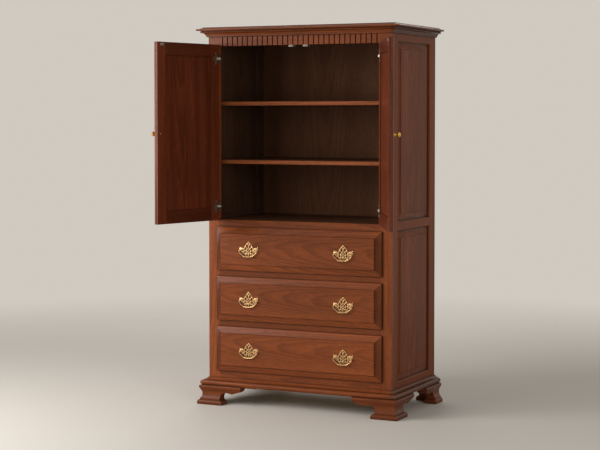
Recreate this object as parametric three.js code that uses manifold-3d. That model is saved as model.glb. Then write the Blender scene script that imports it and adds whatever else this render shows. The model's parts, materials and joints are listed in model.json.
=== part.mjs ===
import * as THREE from 'three';
import { mergeVertices } from 'three/addons/utils/BufferGeometryUtils.js';
import Module from 'manifold-3d';

const wasm = await Module();
wasm.setup();

// A TV armoire in millimetres, +Z up, its front towards -Y and its back towards +Y.
// It is drawn with X = 0 at the middle of the carcass, Y = 0 at the face frame and Z = 0 at the floor,
// and the finished group is then moved so that its origin is the floor point under its middle.

// Heights, from the floor up
const footHeight = 97;
const baseMouldingHeight = 38;
const baseReveal = 37.5;
const lowerFrontHeight = 225;
const middleFrontHeight = 221;
const upperFrontHeight = 217;
const railReveal = 31.5;
const waistReveal = 35.5;
const bayHeight = 868.5;
const dentilHeight = 45.5;
const crownHeight = 31;
const topThickness = 18;

// Carcass and face frame
const carcassWidth = 1000;
const carcassDepth = 560;
const frameThickness = 22;
const stileWidth = 60;
const sideThickness = 22;
const sideStileWidth = 78;
const sideBottomRail = 74;
const sideMiddleRail = 48;
const sideTopRail = 69;
const backThickness = 8;
const deckThickness = 20;
const bottomThickness = 18;

// Clearances
const fitGap = 0.3;
const cutOverrun = 6;

// Frame-and-panel work
const stickingChamfer = 5;
const grooveWidth = 6.6;
const grooveDepth = 9;
const tongueDepth = 8;
const sideGrooveInset = 6;
const doorGrooveInset = 4;
const panelFlat = 1;
const panelBevelWidth = 34;
const panelBevelRise = 5;
const panelStepWidth = 1.5;
const panelStepRise = 3;

// Top, crown, dentil and base mouldings
const topOverhang = 48;
const crownProjection = 33;
const baseProjection = 34.5;
const dentilCount = 30;
const dentilWidth = 22.4;
const dentilGap = 5.6;
const dentilDepth = 6;

// Ogee bracket feet
const footProjection = 46.5;
const footInnerDepth = 18;
const footWing = 197;
const rearBracketThickness = 20;
const rearBracketLap = 6;

// Shelves
const shelfThickness = 20;
const lowerShelfRise = 299;
const upperShelfRise = 592;
const shelfSetback = 34;
const shelfBackGap = 1;
const shelfEdgeRadius = 3;
const housingDepth = 6;

// Drawers
const lipOverlap = 11;
const lipThickness = 8;
const lipRound = 2;
const frontGap = 1;
const frontBodyDepth = 10;
const frontBodyClearance = 1.5;
const frontBevelWidth = 31;
const frontBevelRise = 11;
const frontStepWidth = 2;
const frontStepRise = 7;
const drawerSideThickness = 12;
const drawerSideClearance = 1.5;
const drawerLength = 490;
const drawerHeadroom = 12;
const drawerBottomThickness = 6;
const drawerBottomRise = 10;
const bearerThickness = 18;
const bearerWidth = 58;
const guideHeight = 40;
const bearerBackGap = 2;

// Pulls: a pierced plate, two posts and a bail
const pullInset = 193;
const plateHalfWidth = 53;
const plateHalfHeight = 41;
const plateThickness = 2;
const postSpread = 80;
const postDrop = 4;
const postShankRadius = 3;
const postCollarRadius = 5.5;
const postCollarThickness = 2;
const postNeckRadius = 3.2;
const postNeckLength = 2;
const postBallRadius = 5;
const postNutRadius = 6;
const postNutThickness = 4;
const postNeckShare = 0.12;
const bailEndRadius = 2;
const bailGripRadius = 3.2;
const bailHoleClearance = 0.5;
const bailShoulder = 8;
const bailDrop = 34;

// Doors, knobs and catches
const doorOverlayTop = 7.5;
const doorOverlayBottom = 3;
const doorThickness = 23;
const doorGap = 1.5;
const doorMeetingGap = 3;
const doorStileWidth = 58;
const doorRailWidth = 62;
const doorEdgeQuirk = 2;
const doorEdgeRound = 6;
const hingeEdgeDistance = 4;
const hingeAxisDepth = 10;
const leftDoorOpenDegrees = 102;
const rightDoorOpenDegrees = 119;
const knobInset = 24;
const knobRadius = 12.5;
const knobProjection = 34;
const knobHeight = 437;
const knobScrewRadius = 2.2;
const knobScrewHeadRadius = 4.5;
const knobScrewHeadThickness = 2.4;
const knobScrewLap = 3;
const catchInset = 37.5;
const catchWidth = 38;
const catchDepth = 40;
const catchHeight = 10;
const catchNose = 9;
const catchLeverWidth = 26;
const catchFrontGap = 1.5;

// Cup hinges
const hingeEndDistance = 70;
const cupRadius = 17.2;
const cupDepth = 12;
const cupWall = 1.5;
const cupFlangeRadius = 19.5;
const cupFlangeThickness = 0.8;
const cupEdgeDistance = 4.3;
const armPlateHeight = 44;
const armPlateThickness = 3;
const armHeight = 11;
const armFrontInset = 2;
const armNoseReach = 5;
const armNoseWidth = 6;
const armNoseOffset = 6;
const pivotRadius = 2;
const pivotClearance = 0.4;
const pivotReach = 11;
const eyeRadius = 3.6;
const linkHalfThickness = 2.2;
const earReach = 10;
const earInset = 0.6;
const earDepth = 14.6;
const earSideGap = 0.6;

// Facets
const curveSteps = 3;
const ballSteps = 6;
const ogeeSteps = 4;
const smallSides = 8;
const piercingSides = 6;
const roundSides = 16;
const bailSteps = 22;
const bailSides = 6;

// Mouldings and outlines are shares of the sizes that they follow.
// M starts a line, L draws it on and Q curves it past a control point.
const crownProfileShares = [
  ['M', 0, 0], ['L', 0.09, 0], ['Q', 0.28, 0.02, 0.28, 0.16], ['L', 0.27, 0.29], ['L', 0.37, 0.31],
  ['Q', 0.42, 0.65, 0.9, 0.68], ['Q', 1.03, 0.76, 0.93, 0.85], ['L', 0.84, 0.87], ['L', 0.84, 0.92],
  ['L', 1, 0.95], ['L', 1, 1], ['L', 0, 1],
];
const baseProfileShares = [
  ['M', 0, 0], ['L', 0.82, 0], ['L', 0.82, 0.07], ['Q', 1, 0.1, 1, 0.34], ['Q', 1, 0.58, 0.73, 0.63],
  ['L', 0.57, 0.64], ['L', 0.57, 0.71], ['L', 0.63, 0.72], ['Q', 0.26, 0.76, 0.17, 0.93],
  ['L', 0.14, 0.95], ['L', 0.14, 1], ['L', 0, 1],
];
const footProfileShares = [
  ['M', 0.97, 0], ['Q', 1.04, 0.1, 0.94, 0.2], ['L', 0.86, 0.23], ['L', 0.78, 0.235], ['L', 0.78, 0.285],
  ['Q', 0.56, 0.4, 0.56, 0.54], ['Q', 0.56, 0.66, 0.7, 0.76], ['Q', 0.88, 0.87, 0.82, 0.95],
  ['Q', 0.79, 1, 0.64, 1],
];
const bracketOutlineShares = [
  ['M', 1, 0.94], ['Q', 0.985, 0.71, 0.89, 0.68], ['Q', 0.8, 0.65, 0.715, 0.575], ['Q', 0.68, 0.62, 0.64, 0.625],
  ['L', 0.55, 0.65], ['Q', 0.395, 0.64, 0.386, 0.41], ['L', 0.386, 0.28], ['Q', 0.39, 0.235, 0.427, 0.225],
  ['Q', 0.468, 0.2, 0.468, 0.1], ['L', 0.468, 0],
];
const topEdgeShares = [
  [0.92, 0], [0.985, 0.08], [1, 0.22], [0.99, 0.4], [0.93, 0.47], [0.78, 0.55], [0.64, 0.66],
  [0.56, 0.78], [0.5, 0.8], [0.48, 0.9], [0.43, 1],
];
const plateOutlineShares = [
  ['M', 0, 1], ['Q', 0.06, 0.91, 0.12, 0.85], ['Q', 0.24, 0.87, 0.28, 0.73], ['Q', 0.29, 0.62, 0.36, 0.6],
  ['Q', 0.46, 0.54, 0.43, 0.37], ['Q', 0.49, 0.21, 0.62, 0.22], ['Q', 0.8, 0.21, 0.94, 0.42], ['L', 1, 0.32],
  ['Q', 0.87, 0.1, 0.92, -0.17], ['L', 0.98, -0.34], ['L', 0.9, -0.42], ['Q', 0.76, -0.29, 0.57, -0.34],
  ['Q', 0.54, -0.46, 0.51, -0.61], ['Q', 0.48, -0.82, 0.32, -0.86], ['Q', 0.19, -0.87, 0.14, -0.93],
  ['L', 0, -1],
];
// Each piercing: centre, half width, half height and lean in degrees; all but the middle ones are mirrored.
const platePiercingShares = [
  [0, 0.744, 0.057, 0.088, 0], [0.098, 0.527, 0.047, 0.112, -20], [0.268, 0.498, 0.047, 0.107, -35],
  [0, 0.307, 0.053, 0.093, 0], [0.155, 0.249, 0.051, 0.095, -10], [0.317, 0.229, 0.049, 0.098, -15],
  [0.085, 0.02, 0.051, 0.088, 0], [0.245, 0, 0.053, 0.093, 0], [0.402, -0.015, 0.047, 0.098, 0],
  [0.551, -0.078, 0.045, 0.112, 0], [0, -0.22, 0.053, 0.088, 0], [0.166, -0.234, 0.053, 0.093, 0],
  [0.326, -0.249, 0.051, 0.093, 0], [0.085, -0.463, 0.051, 0.088, 0], [0.249, -0.473, 0.053, 0.093, 0],
  [0.404, -0.478, 0.042, 0.083, 8], [0, -0.698, 0.051, 0.083, 0], [0.166, -0.698, 0.049, 0.083, 0],
  [0.317, -0.688, 0.042, 0.071, 18], [0.842, 0.156, 0.043, 0.078, -35],
];
const bailPathShares = [
  [0, 0], [0.75, 0], [1, -0.14], [0.94, -0.36], [0.3, -0.7], [-0.9, -0.95], [-2.4, -1],
];
const knobProfileShares = [
  [0, 0], [0.72, 0], [0.72, 0.07], [0.5, 0.13], [0.3, 0.24], [0.28, 0.42], [0.46, 0.5], [0.9, 0.6],
  [1, 0.7], [0.9, 0.84], [0.55, 0.96], [0, 1],
];

// Levels and planes that the pieces share
const halfWidth = carcassWidth / 2;
const sideInner = halfWidth - sideThickness;
const openingHalf = halfWidth - stileWidth;
const overlayHalf = openingHalf + lipOverlap;
const baseTop = footHeight + baseMouldingHeight;
const frontHeights = [lowerFrontHeight, middleFrontHeight, upperFrontHeight];
const drawers = [];
let frontBottom = baseTop + baseReveal;
for (const height of frontHeights) {
  drawers.push({
    frontBottom,
    frontTop: frontBottom + height,
    openingBottom: frontBottom + lipOverlap,
    openingTop: frontBottom + height - lipOverlap,
  });
  frontBottom += height + railReveal;
}
const upperDrawer = drawers[drawers.length - 1];
const bayBottom = upperDrawer.frontTop + waistReveal;
const bayTop = bayBottom + bayHeight;
const crownBottom = bayTop + dentilHeight;
const crownTop = crownBottom + crownHeight;
const topLevel = crownTop + topThickness;
const bayBack = carcassDepth - backThickness;
const shelfLevels = [bayBottom + lowerShelfRise, bayBottom + upperShelfRise];
const housedBoards = [
  { front: frameThickness, bottom: drawers[0].openingBottom - bottomThickness, top: drawers[0].openingBottom },
  { front: frameThickness, bottom: bayBottom - deckThickness, top: bayBottom },
  ...shelfLevels.map((top) => ({ front: frameThickness + shelfSetback, bottom: top - shelfThickness, top })),
];
const [bottomPlace, deckPlace, ...shelfPlaces] = housedBoards;
const housedHalf = sideInner + housingDepth - fitGap;
const fieldPlane = -(frontGap + lipThickness + lipRound + frontBevelRise + frontStepRise);
const postHalfSpread = postSpread / 2;

function material(color, roughness, metalness) {
  return new THREE.MeshStandardMaterial({ color, roughness, metalness });
}

const showWood = material(0x78402a, 0.4, 0);
const sideWood = material(0x6d3a27, 0.42, 0);
const insideWood = material(0x5a2e1d, 0.5, 0);
const plainWood = material(0xb98f5f, 0.65, 0);
const brass = material(0xd2a679, 0.28, 1);
const steel = material(0xb9b9b4, 0.35, 1);
const catchBrown = material(0x9a938a, 0.5, 0.2);

// Geometry from a list of points and triangles, turned outwards if its volume comes out negative
function solidFrom(points, triangles) {
  let volume = 0;
  for (const [a, b, c] of triangles) {
    const [ax, ay, az] = points[a];
    const [bx, by, bz] = points[b];
    const [cx, cy, cz] = points[c];
    volume += ax * (by * cz - bz * cy) + ay * (bz * cx - bx * cz) + az * (bx * cy - by * cx);
  }
  const order = volume < 0 ? triangles.map(([a, b, c]) => [a, c, b]) : triangles;
  const geometry = new THREE.BufferGeometry();
  geometry.setAttribute('position', new THREE.Float32BufferAttribute(points.flat(), 3));
  geometry.setIndex(order.flat());
  const faceted = geometry.toNonIndexed();
  faceted.computeVertexNormals();
  return faceted;
}

// A closed body through rings of equal length, capped at both ends by the contour's triangles
function loft(rings, contour) {
  const count = rings[0].length;
  const points = rings.flat();
  const triangles = [];
  for (let ring = 0; ring < rings.length - 1; ring += 1) {
    for (let i = 0; i < count; i += 1) {
      const a = ring * count + i;
      const b = ring * count + ((i + 1) % count);
      triangles.push([a, b, b + count], [a, b + count, a + count]);
    }
  }
  const last = (rings.length - 1) * count;
  const clockwise = THREE.ShapeUtils.isClockWise(contour);
  for (const cap of THREE.ShapeUtils.triangulateShape(contour, [])) {
    const [a, b, c] = clockwise ? cap.reverse() : cap;
    triangles.push([a, c, b], [last + a, last + b, last + c]);
  }
  return solidFrom(points, triangles);
}

// A body through rectangles that lie flat, each given by its limits and its height
function rectangleLoft(levels) {
  const square = [[0, 0], [1, 0], [1, 1], [0, 1]].map(([x, y]) => new THREE.Vector2(x, y));
  const rings = levels.map(({ x0, x1, y0, y1, z }) => [[x0, y0, z], [x1, y0, z], [x1, y1, z], [x0, y1, z]]);
  return loft(rings, square);
}

function block(x0, x1, y0, y1, z0, z1) {
  return rectangleLoft([{ x0, x1, y0, y1, z: z0 }, { x0, x1, y0, y1, z: z1 }]);
}

// Moves every point by a rule that keeps straight lines straight; one that mirrors also turns the triangles over
function mapPoints(geometry, rule) {
  const faceted = geometry.index ? geometry.toNonIndexed() : geometry.clone();
  const position = faceted.attributes.position;
  const origin = new THREE.Vector3(...rule(0, 0, 0));
  const [alongX, alongY, alongZ] = [[1, 0, 0], [0, 1, 0], [0, 0, 1]].map((unit) => (
    new THREE.Vector3(...rule(...unit)).sub(origin)
  ));
  const mirrored = alongX.cross(alongY).dot(alongZ) < 0;
  for (let i = 0; i < position.count; i += 1) {
    const [x, y, z] = rule(position.getX(i), position.getY(i), position.getZ(i));
    position.setXYZ(i, x, y, z);
  }
  if (mirrored) {
    for (let i = 0; i < position.count; i += 3) {
      const [x, y, z] = [position.getX(i), position.getY(i), position.getZ(i)];
      position.setXYZ(i, position.getX(i + 1), position.getY(i + 1), position.getZ(i + 1));
      position.setXYZ(i + 1, x, y, z);
    }
  }
  faceted.computeVertexNormals();
  return faceted;
}

function shifted(geometry, dx, dy, dz) {
  return mapPoints(geometry, (x, y, z) => [x + dx, y + dy, z + dz]);
}

function mirroredX(geometry) {
  return mapPoints(geometry, (x, y, z) => [-x, y, z]);
}

// Local x, y and outward z turned to face -Y or +X
const facingFront = (geometry) => mapPoints(geometry, (x, y, z) => [x, -z, y]);
const facingRight = (geometry) => mapPoints(geometry, (x, y, z) => [z, x, y]);

function toSolid(geometry) {
  const bare = geometry.clone();
  bare.deleteAttribute('normal');
  bare.deleteAttribute('uv');
  const merged = mergeVertices(bare);
  const index = merged.index.array;
  const kept = [];
  for (let i = 0; i < index.length; i += 3) {
    const [a, b, c] = [index[i], index[i + 1], index[i + 2]];
    if (a !== b && b !== c && a !== c) {
      kept.push(a, b, c);
    }
  }
  return new wasm.Manifold(new wasm.Mesh({
    numProp: 3,
    vertProperties: new Float32Array(merged.attributes.position.array),
    triVerts: new Uint32Array(kept),
  }));
}

function fromSolid(solid) {
  const mesh = solid.getMesh();
  const geometry = new THREE.BufferGeometry();
  geometry.setAttribute('position', new THREE.Float32BufferAttribute(mesh.vertProperties, 3));
  geometry.setIndex(Array.from(mesh.triVerts));
  const faceted = geometry.toNonIndexed();
  faceted.computeVertexNormals();
  return faceted;
}

function cutAway(body, cutters) {
  const start = toSolid(body);
  return fromSolid(cutters.reduce((solid, cutter) => solid.subtract(toSolid(cutter)), start));
}

function joined(first, ...others) {
  const start = toSolid(first);
  return fromSolid(others.reduce((solid, other) => solid.add(toSolid(other)), start));
}

// Points of a line drawn in shares of a width and a height
function drawnPoints(shares, width, height, steps) {
  const path = new THREE.Path();
  for (const [kind, ...values] of shares) {
    const sizes = values.map((share, i) => share * (i % 2 === 0 ? width : height));
    if (kind === 'M') {
      path.moveTo(...sizes);
    } else if (kind === 'L') {
      path.lineTo(...sizes);
    } else {
      path.quadraticCurveTo(...sizes);
    }
  }
  return path.getPoints(steps);
}

function prism(points, depth) {
  return new THREE.ExtrudeGeometry(new THREE.Shape(points), { depth, bevelEnabled: false, steps: 1 });
}

// A turned body about its local Z axis
function turned(profile, sides) {
  const points = profile.map(([radius, along]) => new THREE.Vector2(radius, along));
  const lathe = new THREE.LatheGeometry(points, sides);
  const upright = mapPoints(lathe, (x, y, z) => [x, -z, y]);
  return fromSolid(toSolid(upright));
}

function rod(radius, from, to, sides) {
  return turned([[0, from], [radius, from], [radius, to], [0, to]], sides);
}

// A raised panel in its own plane: back tongue, flat, bevel, step and field
function raisedPanel(width, height, tongueThickness) {
  const rings = [
    [-tongueDepth, 0],
    [-tongueDepth, tongueThickness],
    [panelFlat, tongueThickness],
    [panelBevelWidth, tongueThickness + panelBevelRise],
    [panelBevelWidth + panelStepWidth, tongueThickness + panelBevelRise + panelStepRise],
  ];
  return rectangleLoft(rings.map(([inset, z]) => ({ x0: inset, x1: width - inset, y0: inset, y1: height - inset, z })));
}

// The hole for a panel: an opening chamfered on the outer face and a groove round it
function panelCutters(x0, x1, y0, y1, thickness, grooveInset) {
  const opening = rectangleLoft([
    { x0, x1, y0, y1, z: -cutOverrun },
    { x0, x1, y0, y1, z: thickness - stickingChamfer },
    {
      x0: x0 - stickingChamfer - cutOverrun,
      x1: x1 + stickingChamfer + cutOverrun,
      y0: y0 - stickingChamfer - cutOverrun,
      y1: y1 + stickingChamfer + cutOverrun,
      z: thickness + cutOverrun,
    },
  ]);
  const groove = block(
    x0 - grooveDepth,
    x1 + grooveDepth,
    y0 - grooveDepth,
    y1 + grooveDepth,
    grooveInset,
    grooveInset + grooveWidth,
  );
  return [opening, groove];
}

// Sides: the right one is drawn in its own plane, local x running back and local y up
const sidePanelSpans = [
  { name: 'lower', from: footHeight + sideBottomRail, to: bayBottom - waistReveal - fitGap },
  { name: 'upper', from: bayBottom + sideMiddleRail - waistReveal, to: crownTop - sideTopRail },
];
sidePanelSpans[0].to = sidePanelSpans[1].from - sideMiddleRail;
const sidePanelFront = sideStileWidth;
const sidePanelBack = carcassDepth - sideStileWidth;

function sideFrame() {
  const board = block(frameThickness, carcassDepth, footHeight, crownTop, 0, sideThickness);
  const cutters = sidePanelSpans.flatMap(({ from, to }) => (
    panelCutters(sidePanelFront, sidePanelBack, from, to, sideThickness, sideGrooveInset)
  ));
  for (const { front, bottom, top } of housedBoards) {
    cutters.push(block(
      front - fitGap,
      carcassDepth + cutOverrun,
      bottom - fitGap,
      top + fitGap,
      -cutOverrun,
      housingDepth,
    ));
  }
  return shifted(facingRight(cutAway(board, cutters)), sideInner, 0, 0);
}

function sidePanel({ from, to }) {
  const panel = raisedPanel(sidePanelBack - sidePanelFront, to - from, grooveWidth - 2 * fitGap);
  return shifted(facingRight(panel), sideInner + sideGrooveInset + fitGap, sidePanelFront, from);
}

// Face frame
function faceStile() {
  return block(openingHalf, halfWidth, 0, frameThickness, footHeight, bayTop);
}

function faceRail(bottom, top) {
  return block(-openingHalf, openingHalf, 0, frameThickness, bottom, top);
}

function dentilRail() {
  const board = block(-halfWidth, halfWidth, 0, frameThickness, bayTop, crownTop);
  const pitch = dentilWidth + dentilGap;
  const firstGap = -(dentilCount * pitch) / 2;
  const gaps = [];
  for (let i = 0; i <= dentilCount; i += 1) {
    const middle = firstGap + i * pitch;
    gaps.push(block(
      middle - dentilGap / 2,
      middle + dentilGap / 2,
      -cutOverrun,
      dentilDepth,
      bayTop - cutOverrun,
      crownBottom,
    ));
  }
  return cutAway(board, gaps);
}

// A mitred moulding that runs back down one side, across the front and back down the other
function mitredMoulding(shares, projection, height, bottom) {
  const profile = drawnPoints(shares, projection, height, curveSteps);
  const ring = (rule) => profile.map((point) => rule(point.x, bottom + point.y));
  return loft([
    ring((out, z) => [-halfWidth - out, carcassDepth, z]),
    ring((out, z) => [-halfWidth - out, -out, z]),
    ring((out, z) => [halfWidth + out, -out, z]),
    ring((out, z) => [halfWidth + out, carcassDepth, z]),
  ], profile);
}

function topBoard() {
  return rectangleLoft(topEdgeShares.map(([outShare, upShare]) => ({
    x0: -halfWidth - outShare * topOverhang,
    x1: halfWidth + outShare * topOverhang,
    y0: -outShare * topOverhang,
    y1: carcassDepth,
    z: crownTop + upShare * topThickness,
  })));
}

// Ogee bracket feet: the moulded section runs round the corner, then the bracket outline is cut from it
function footSection() {
  const outer = drawnPoints(footProfileShares, footProjection, footHeight, ogeeSteps);
  const inner = [new THREE.Vector2(-footInnerDepth, footHeight), new THREE.Vector2(-footInnerDepth, 0)];
  return [...outer, ...inner];
}

// The space under a wing, in distance from the carcass corner and height
function bracketCutter(depth) {
  const outline = drawnPoints(bracketOutlineShares, footWing, footHeight, curveSteps);
  const start = outline[0];
  const end = outline[outline.length - 1];
  const far = footWing + cutOverrun;
  const closed = [
    ...outline,
    new THREE.Vector2(end.x, -cutOverrun),
    new THREE.Vector2(far, -cutOverrun),
    new THREE.Vector2(far, start.y),
  ];
  return prism(closed, depth);
}

function frontFoot() {
  const section = footSection();
  const ring = (rule) => section.map((point) => rule(point.x, point.y));
  const bend = loft([
    ring((out, z) => [halfWidth - footWing, -out, z]),
    ring((out, z) => [halfWidth + out, -out, z]),
    ring((out, z) => [halfWidth + out, footWing, z]),
  ], section);
  const reach = footProjection + footInnerDepth + 2 * cutOverrun;
  const cutter = bracketCutter(reach);
  const outerFace = footProjection + cutOverrun;
  const underFront = mapPoints(cutter, (x, y, z) => [halfWidth - x, z - outerFace, y]);
  const underSide = mapPoints(cutter, (x, y, z) => [halfWidth + outerFace - z, x, y]);
  return cutAway(bend, [underFront, underSide]);
}

function rearFoot() {
  const section = footSection();
  const ring = (y) => section.map((point) => [halfWidth + point.x, y, point.y]);
  const wing = loft([ring(carcassDepth - footWing), ring(carcassDepth)], section);
  const bracket = block(
    halfWidth - footWing,
    halfWidth - footInnerDepth + rearBracketLap,
    carcassDepth - rearBracketThickness,
    carcassDepth,
    0,
    footHeight,
  );
  const reach = footProjection + footInnerDepth + 2 * cutOverrun;
  const outerFace = footProjection + cutOverrun;
  const underSide = mapPoints(bracketCutter(reach), (x, y, z) => [halfWidth + outerFace - z, carcassDepth - x, y]);
  const behind = carcassDepth - rearBracketThickness - cutOverrun;
  const deep = rearBracketThickness + 2 * cutOverrun;
  const underBack = mapPoints(bracketCutter(deep), (x, y, z) => [halfWidth - x, behind + z, y]);
  return joined(cutAway(wing, [underSide]), cutAway(bracket, [underBack]));
}

// Boards whose ends are housed in the sides
function shelf({ front, bottom, top }) {
  const at = (setback, z) => ({ x0: -housedHalf, x1: housedHalf, y0: front + setback, y1: bayBack - shelfBackGap, z });
  return rectangleLoft([
    at(shelfEdgeRadius, bottom),
    at(0, bottom + shelfEdgeRadius),
    at(0, top - shelfEdgeRadius),
    at(shelfEdgeRadius, top),
  ]);
}

function deckBoard({ front, bottom, top }) {
  return block(-housedHalf, housedHalf, front, bayBack, bottom, top);
}

function guideStrip(level) {
  return block(
    openingHalf,
    sideInner - fitGap,
    frameThickness,
    bayBack - bearerBackGap,
    level - fitGap,
    level + guideHeight,
  );
}

// The bottom board with the two strips that guide the lowest drawer
function bottomBoard(place) {
  const guide = guideStrip(place.top);
  return joined(deckBoard(place), guide, mirroredX(guide));
}

// A drawer rail of the face frame with the bearers, guides and back rail behind it
function webFrame(below, above) {
  const top = above.openingBottom;
  const bottom = top - bearerThickness;
  const inner = sideInner - bearerWidth;
  const back = bayBack - bearerBackGap;
  const rail = block(-openingHalf, openingHalf, 0, frameThickness + fitGap, below.openingTop, top);
  const bearer = block(inner, sideInner - fitGap, frameThickness, back, bottom, top);
  const backRail = block(-inner - fitGap, inner + fitGap, back - bearerWidth, back, bottom, top);
  const guide = guideStrip(top);
  return joined(rail, bearer, mirroredX(bearer), backRail, guide, mirroredX(guide));
}

// Drawers
function pullCentres({ frontBottom: bottom, frontTop: top }) {
  const x = overlayHalf - pullInset;
  const z = (bottom + top) / 2;
  return { left: [-x, z], right: [x, z] };
}

function postPlaces([x, z]) {
  return [[x - postHalfSpread, z - postDrop], [x + postHalfSpread, z - postDrop]];
}

function drawerFront(drawer) {
  const bodyHalf = openingHalf - frontBodyClearance;
  const body = (z) => ({
    x0: -bodyHalf,
    x1: bodyHalf,
    y0: drawer.openingBottom + frontBodyClearance,
    y1: drawer.openingTop - frontBodyClearance,
    z,
  });
  const face = (inset, z) => ({
    x0: -overlayHalf + inset,
    x1: overlayHalf - inset,
    y0: drawer.frontBottom + inset,
    y1: drawer.frontTop - inset,
    z,
  });
  const lipFront = frontGap + lipThickness;
  const bevelTop = lipFront + lipRound + frontBevelRise;
  const front = rectangleLoft([
    body(-frontBodyDepth),
    body(frontGap),
    face(0, frontGap),
    face(0, lipFront),
    face(lipRound, lipFront + lipRound),
    face(frontBevelWidth, bevelTop),
    face(frontBevelWidth + frontStepWidth, bevelTop + frontStepRise),
  ]);
  const holes = Object.values(pullCentres(drawer)).flatMap(postPlaces).map(([x, z]) => (
    shifted(rod(postShankRadius + fitGap, -frontBodyDepth - cutOverrun, -fieldPlane + cutOverrun, smallSides), x, z, 0)
  ));
  return facingFront(cutAway(front, holes));
}

function drawerBoxLimits(drawer) {
  return {
    half: openingHalf - drawerSideClearance,
    front: frontBodyDepth,
    back: frontBodyDepth + drawerLength,
    bottom: drawer.openingBottom + fitGap,
    top: drawer.openingTop - drawerHeadroom,
  };
}

// Sides and back with the bottom let into them
function drawerBox(drawer) {
  const { half, front, back, bottom, top } = drawerBoxLimits(drawer);
  const inner = half - drawerSideThickness;
  const innerBack = back - drawerSideThickness;
  const floorBottom = bottom + drawerBottomRise;
  const floorTop = floorBottom + drawerBottomThickness;
  const outer = block(-half, half, front, back, bottom, top);
  const inside = block(-inner, inner, front - cutOverrun, innerBack, floorTop, top + cutOverrun);
  const under = block(-inner, inner, front - cutOverrun, innerBack, bottom - cutOverrun, floorBottom);
  return cutAway(outer, [inside, under]);
}

// Pulls
function ellipsePoints(x, y, halfX, halfY, lean) {
  const curve = new THREE.EllipseCurve(x, y, halfX, halfY, 0, 2 * Math.PI, true, THREE.MathUtils.degToRad(lean));
  return curve.getPoints(piercingSides).slice(0, piercingSides);
}

function pullPlate() {
  const rightHalf = drawnPoints(plateOutlineShares, plateHalfWidth, plateHalfHeight, curveSteps);
  const leftHalf = rightHalf.slice(1, -1).reverse().map((point) => new THREE.Vector2(-point.x, point.y));
  const piercings = platePiercingShares.flatMap(([x, y, halfX, halfY, lean]) => {
    const sides = x === 0 ? [1] : [-1, 1];
    return sides.map((side) => ellipsePoints(
      side * x * plateHalfWidth,
      y * plateHalfHeight,
      halfX * plateHalfWidth,
      halfY * plateHalfHeight,
      -side * lean,
    ));
  });
  const cutters = piercings.map((points) => shifted(prism(points, plateThickness + 2 * cutOverrun), 0, 0, -cutOverrun));
  return cutAway(prism([...rightHalf, ...leftHalf], plateThickness), cutters);
}

// Distances from the drawer field to the parts of a post
const plateFront = fitGap + plateThickness;
const ballCentre = plateFront + postCollarThickness + postNeckLength + postBallRadius;
const bailPlane = fieldPlane - ballCentre;

function pullPost() {
  const back = fieldPlane - frontBodyDepth - fitGap;
  const ball = [];
  for (let i = 1; i < ballSteps; i += 1) {
    const angle = Math.PI * (postNeckShare + ((1 - postNeckShare) * i) / ballSteps);
    ball.push([postBallRadius * Math.sin(angle), ballCentre - postBallRadius * Math.cos(angle)]);
  }
  return turned([
    [0, back - postNutThickness],
    [postNutRadius, back - postNutThickness],
    [postNutRadius, back],
    [postShankRadius, back],
    [postShankRadius, fitGap],
    [postCollarRadius, fitGap],
    [postCollarRadius, plateFront + postCollarThickness],
    [postNeckRadius, plateFront + postCollarThickness],
    ...ball,
    [0, ballCentre + postBallRadius],
  ], smallSides);
}

// The plate with its two posts, each bored from outside for an end of the bail
function pullMount([x, z]) {
  const bore = mapPoints(
    rod(bailEndRadius + bailHoleClearance, 0, postBallRadius + cutOverrun, smallSides),
    (across, up, along) => [along, across, up + ballCentre],
  );
  const post = shifted(cutAway(pullPost(), [bore]), postHalfSpread, -postDrop, 0);
  const plate = shifted(pullPlate(), 0, 0, fitGap);
  return shifted(facingFront(joined(plate, post, mirroredX(post))), x, fieldPlane, z);
}

// A bail hangs from its two posts, with its ends turned inwards into their balls
function bail([centreX, centreZ]) {
  const start = postHalfSpread + fitGap;
  const rightHalf = bailPathShares.map(([outShare, downShare]) => (
    new THREE.Vector3(start + outShare * bailShoulder, 0, downShare * bailDrop)
  ));
  const middle = new THREE.Vector3(0, 0, -bailDrop);
  const leftHalf = rightHalf.map((point) => new THREE.Vector3(-point.x, 0, point.z)).reverse();
  const curve = new THREE.CatmullRomCurve3([...rightHalf, middle, ...leftHalf], false, 'centripetal');
  const rings = [];
  for (let i = 0; i <= bailSteps; i += 1) {
    const share = i / bailSteps;
    const centre = curve.getPointAt(share);
    const along = curve.getTangentAt(share);
    const across = new THREE.Vector3(-along.z, 0, along.x);
    const swell = Math.sin(Math.PI * share) ** 2;
    const radius = bailEndRadius + (bailGripRadius - bailEndRadius) * swell;
    const ring = [];
    for (let side = 0; side < bailSides; side += 1) {
      const angle = (2 * Math.PI * side) / bailSides;
      const point = centre.clone().addScaledVector(across, radius * Math.cos(angle));
      ring.push([centreX + point.x, bailPlane + radius * Math.sin(angle), centreZ - postDrop + point.z]);
    }
    rings.push(ring);
  }
  const contour = rings[0].map(([, y, z]) => new THREE.Vector2(y, z));
  return loft(rings, contour);
}

// Doors, drawn about the hinge axis: local x from the axis to the free edge, local y into the cabinet
const doorWidth = overlayHalf - doorMeetingGap / 2;
const doorBottom = bayBottom - doorOverlayBottom;
const doorTop = bayTop + doorOverlayTop;
const doorHeight = doorTop - doorBottom;
const hingeLevels = [hingeEndDistance, doorHeight - hingeEndDistance];
const hingeNames = ['lower', 'upper'];
const cupPlace = cupEdgeDistance + cupRadius;
const innerFace = hingeAxisDepth;

// Door pieces are drawn with x across, y up and z from the inner face out, then set about the axis
function aboutHinge(geometry) {
  return shifted(facingFront(geometry), -hingeEdgeDistance, innerFace, doorBottom);
}

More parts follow.
